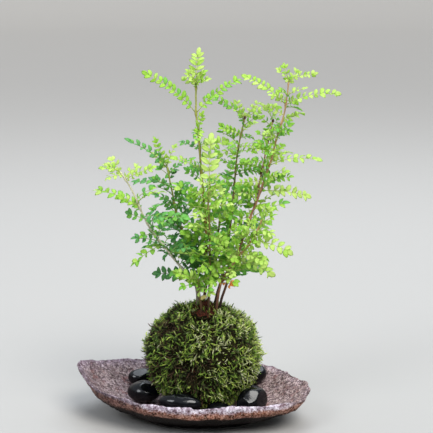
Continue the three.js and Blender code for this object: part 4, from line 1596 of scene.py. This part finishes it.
def green_rib():
    material = new_material("green_rib")
    tone = ramp(material, value_of(material, "tint"), (0, (96, 120, 60)), (1, (186, 196, 110)))
    return finish_material(material, surface(material, Base_Color=tone, Roughness=0.5))


leaf_finish = green_leaf()
rib_finish = green_rib()
print("nodes in the leaf's network:", len(leaf_finish.node_tree.nodes))

# %% [markdown]
# ## Growing the shrub
# Every leafy stem is one piece, as its solid is: its bark, its ribs and all its leaflets, with a material
# for each. The forked shoot on the right is two stems in one piece. Between the solid's own leaves a
# seeded rule sets many smaller ones, longer and darker low in the shade, and pale young leaves stand
# round the growing tips.

# %% Grow every shoot
# The filling leaves' lengths at the foot and tip, how wide they reach to the front and back, and their rise.
FILL_LENGTHS = (30, 17)
FILL_SPREAD = 0.75
FILL_RISE = (-0.15, 0.8)
# What chance adds: where in its stretch a leaf grows, how it is turned, and its size.
FILL_PLACES = (0.1, 0.9)
FILL_TURN = 0.4
FILL_SIZES = (0.75, 1.15)
# Above 1, more of the filling leaves grow low on the shoot.
FILL_LOWNESS = 1.15
DEEP_SHADE = 0.34
FRESHNESS_JITTER = 0.11
# Small young leaves round the growing tips, as a station and a reach.
TIP_LEAVES = {
    "main": [
        (9.0, (-9, -4, 11)), (9.0, (9, -6, 11)), (8.95, (-12, 3, 5)), (8.95, (12, -4, 5)),
        (8.95, (-5, -10, 3)), (8.95, (7, 9, 3)),
    ],
    "left": [(8.0, (-16, -5, 4)), (8.0, (-9, 5, 11)), (7.8, (-13, -7, -3)), (7.6, (12, 6, 10))],
    "left_back": [(6.0, (8, 5, 18)), (5.9, (-16, 6, 13))],
    "middle": [(6.0, (-8, 5, 15)), (6.0, (14, 6, 13))],
    "right": [(10.0, (-11, -4, 10)), (9.9, (8, 6, 12)), (9.5, (16, -8, 6)), (9.3, (-15, -8, 6))],
}


def filling_leaves(shoot):
    """The many small leaves between the solid's own, as (station, reach): lower ones longer, none alike."""
    first, last, count = shoot["fill"]
    for leaf in range(count):
        share = ((leaf + draw.uniform(*FILL_PLACES)) / count) ** FILL_LOWNESS
        turn = GOLDEN_ANGLE * leaf + draw.gauss(0, FILL_TURN)
        length = part_way(FILL_LENGTHS, share) * draw.uniform(*FILL_SIZES)
        way = Vector((math.cos(turn), FILL_SPREAD * math.sin(turn), draw.uniform(*FILL_RISE))).normalized()
        yield part_way((first, last), share), way * length


def freshness(shoot, station):
    """Deep green low down in the middle of the shrub, paler towards the shoot's tip."""
    share = station / (len(shoot["route"]) - 1)
    return part_way(shoot["fresh"], share) + draw.gauss(0, FRESHNESS_JITTER)


def grow_shoot(target, shoot):
    """A stem, its solid's leaves and the filling leaves between them."""
    grow_stem(target, shoot)
    for station, *reach in shoot["leaves"]:
        lush = reach[3] if len(reach) > 3 else 1
        base = along_route(shoot["route"], station)
        roll = draw.gauss(0, LEAF_ROLL)
        grow_leaf(target, base, Vector(reach[:3]), roll, freshness(shoot, station), lush)
    for station, reach in filling_leaves(shoot):
        fresh = freshness(shoot, station) - DEEP_SHADE * draw.random()
        grow_leaf(target, along_route(shoot["route"], station), reach, draw.gauss(0, FILL_ROLL), fresh)


def grow_tip(target, shoot):
    """The young leaves at the end of a shoot. A fork is too short for the stations of its name."""
    for station, reach in TIP_LEAVES.get(shoot["name"], []):
        if station <= len(shoot["route"]) - 1:
            base = along_route(shoot["route"], station)
            grow_leaf(target, base, Vector(reach), draw.gauss(0, LEAF_ROLL), 1)


for name in dict.fromkeys(shoot["name"] for shoot in SHOOTS):
    shrub = new_mesh_code()
    mine = [shoot for shoot in SHOOTS if shoot["name"] == name]
    for shoot in mine:
        grow_shoot(shrub, shoot)
        grow_tip(shrub, shoot)
    finishes = [barks[mine[0]["bark"]], rib_finish, leaf_finish]
    hand_over(shrub, "shoot_" + name, finishes, "foliage", "leafy_stem_" + name)

# %% [markdown]
# ## Buds and turned leaves
# A few small things break up the green: dark red buds at the ends of two shoots and along one of them, a
# spray near the foot that has turned orange, and one straw-coloured leaflet that hangs above the soil.
# They share a piece and a material, whose colour follows the tint from dark red through orange to straw.

# %% Add the buds and turned leaves
BUDS = [(40, 26, 250.5), (63, 13, 249.5), (58.8, 12, 233.5), (53.4, 9.7, 207)]
BUD_RADIUS = 1.15
BUD_STRETCH = 1.5
# Where the spray starts and how far it reaches; where the leaflet hangs, points and faces.
ORANGE_SPRAY = ((20.4, -12.7, 118.5), (11, -13, 0))
STRAW_LEAFLET = ((3.2, -12.9, 105), (0.85, -0.35, 0.4), (-0.3, -0.6, 0.75))
STRAW_LENGTH = 7
ORANGE_TINT = 0.5
STRAW_TINT = 0.95
TURNED_TONES = [(0, (84, 34, 32)), (0.2, (150, 60, 40)), (0.5, (222, 132, 62)), (1, (232, 216, 138))]


def buds_and_turned_leaves():
    bm = new_mesh_code()
    for place in BUDS:
        stand = Matrix.Translation(Vector(place) * MM) @ Matrix.Diagonal((1, 1, BUD_STRETCH, 1))
        bmesh.ops.create_icosphere(bm, subdivisions=2, radius=BUD_RADIUS * MM, matrix=stand)
    for face in bm.faces:
        face.material_index = BLADE
        face.smooth = True
    base, reach = (Vector(values) for values in ORANGE_SPRAY)
    grow_leaf(bm, base, reach, 0, ORANGE_TINT)
    root, way, normal = (Vector(values) for values in STRAW_LEAFLET)
    set_leaflet(bm, root, way, normal, STRAW_LENGTH, 1, STRAW_TINT)
    return bm


def turned_leaf():
    material = new_material("turned_leaf")
    tone = ramp(material, value_of(material, "tint"), *TURNED_TONES)
    return finish_material(material, surface(material, Base_Color=tone, Roughness=0.5))


turned_finishes = [barks["red"], rib_finish, turned_leaf()]
hand_over(buds_and_turned_leaves(), "buds_and_turned_leaves", turned_finishes, "foliage")

# %% [markdown]
# ## Floor and light
# The object stands on a plain pale floor that curves up into a wall all round, so that no edge shows from
# any side. The light is that of a bright, hazy day: a soft sun high on the front right, a small cool
# window on the front left, a broad skylight overhead and a little behind, and a pale sky all round.

# %% Build the stage
SWEEP_RADIUS = 7
SWEEP_CURVE = 3
SWEEP_HEIGHT = 6
SWEEP_STEPS = 96
BEND_STEPS = 12
FLOOR_TONE = (164, 162, 159)
# The linear colour and the strength of the sky.
SKY_TONE = (0.82, 0.89, 1, 1)
SKY_STRENGTH = 0.74


def sweep():
    """A round floor, in metres, whose edge bends up into a wall."""
    profile = [(0, 0), (SWEEP_RADIUS / 2, 0), (SWEEP_RADIUS, 0)]
    for step in range(1, BEND_STEPS + 1):
        turn = math.pi / 2 * step / BEND_STEPS
        profile.append((SWEEP_RADIUS + SWEEP_CURVE * math.sin(turn), SWEEP_CURVE * (1 - math.cos(turn))))
    profile.append((SWEEP_RADIUS + SWEEP_CURVE, SWEEP_HEIGHT))
    bm = bmesh.new()
    spin_profile(bm, profile, SWEEP_STEPS)
    smooth_all(bm)
    mesh = bpy.data.meshes.new("floor")
    bm.to_mesh(mesh)
    bm.free()
    floor = bpy.data.objects.new("floor", mesh)
    bpy.context.scene.collection.objects.link(floor)
    material = new_material("floor_paint")
    matt = surface(material, Base_Color=paint(FLOOR_TONE), Roughness=0.9)
    mesh.materials.append(finish_material(material, matt))
    return floor


def lamp(name, kind, place, power, tone, **settings):
    """A light at a place, in metres, aimed at the plant."""
    light = bpy.data.lights.new(name, kind)
    light.energy = power
    light.color = tone
    for setting, value in settings.items():
        setattr(light, setting, value)
    made = bpy.data.objects.new(name, light)
    made.location = place
    made.rotation_euler = (Vector(place) - CAMERA_TARGET).to_track_quat("Z", "Y").to_euler()
    bpy.context.scene.collection.objects.link(made)


sweep()
lamp("daylight", "SUN", (0.9, -1.5, 2.2), 3.0, (1, 0.985, 0.95), angle=math.radians(32))
lamp("window", "AREA", (-1.3, -1.3, 1.5), 18, (0.92, 0.96, 1), size=0.8)
lamp("skylight", "AREA", (0.25, 0.7, 1.8), 26, (0.86, 0.93, 1), size=1.4)
sky = bpy.data.worlds.new("sky")
sky.use_nodes = True
sky.node_tree.nodes["Background"].inputs["Color"].default_value = SKY_TONE
sky.node_tree.nodes["Background"].inputs["Strength"].default_value = SKY_STRENGTH
bpy.context.scene.world = sky
bpy.context.scene.view_settings.view_transform = "Standard"
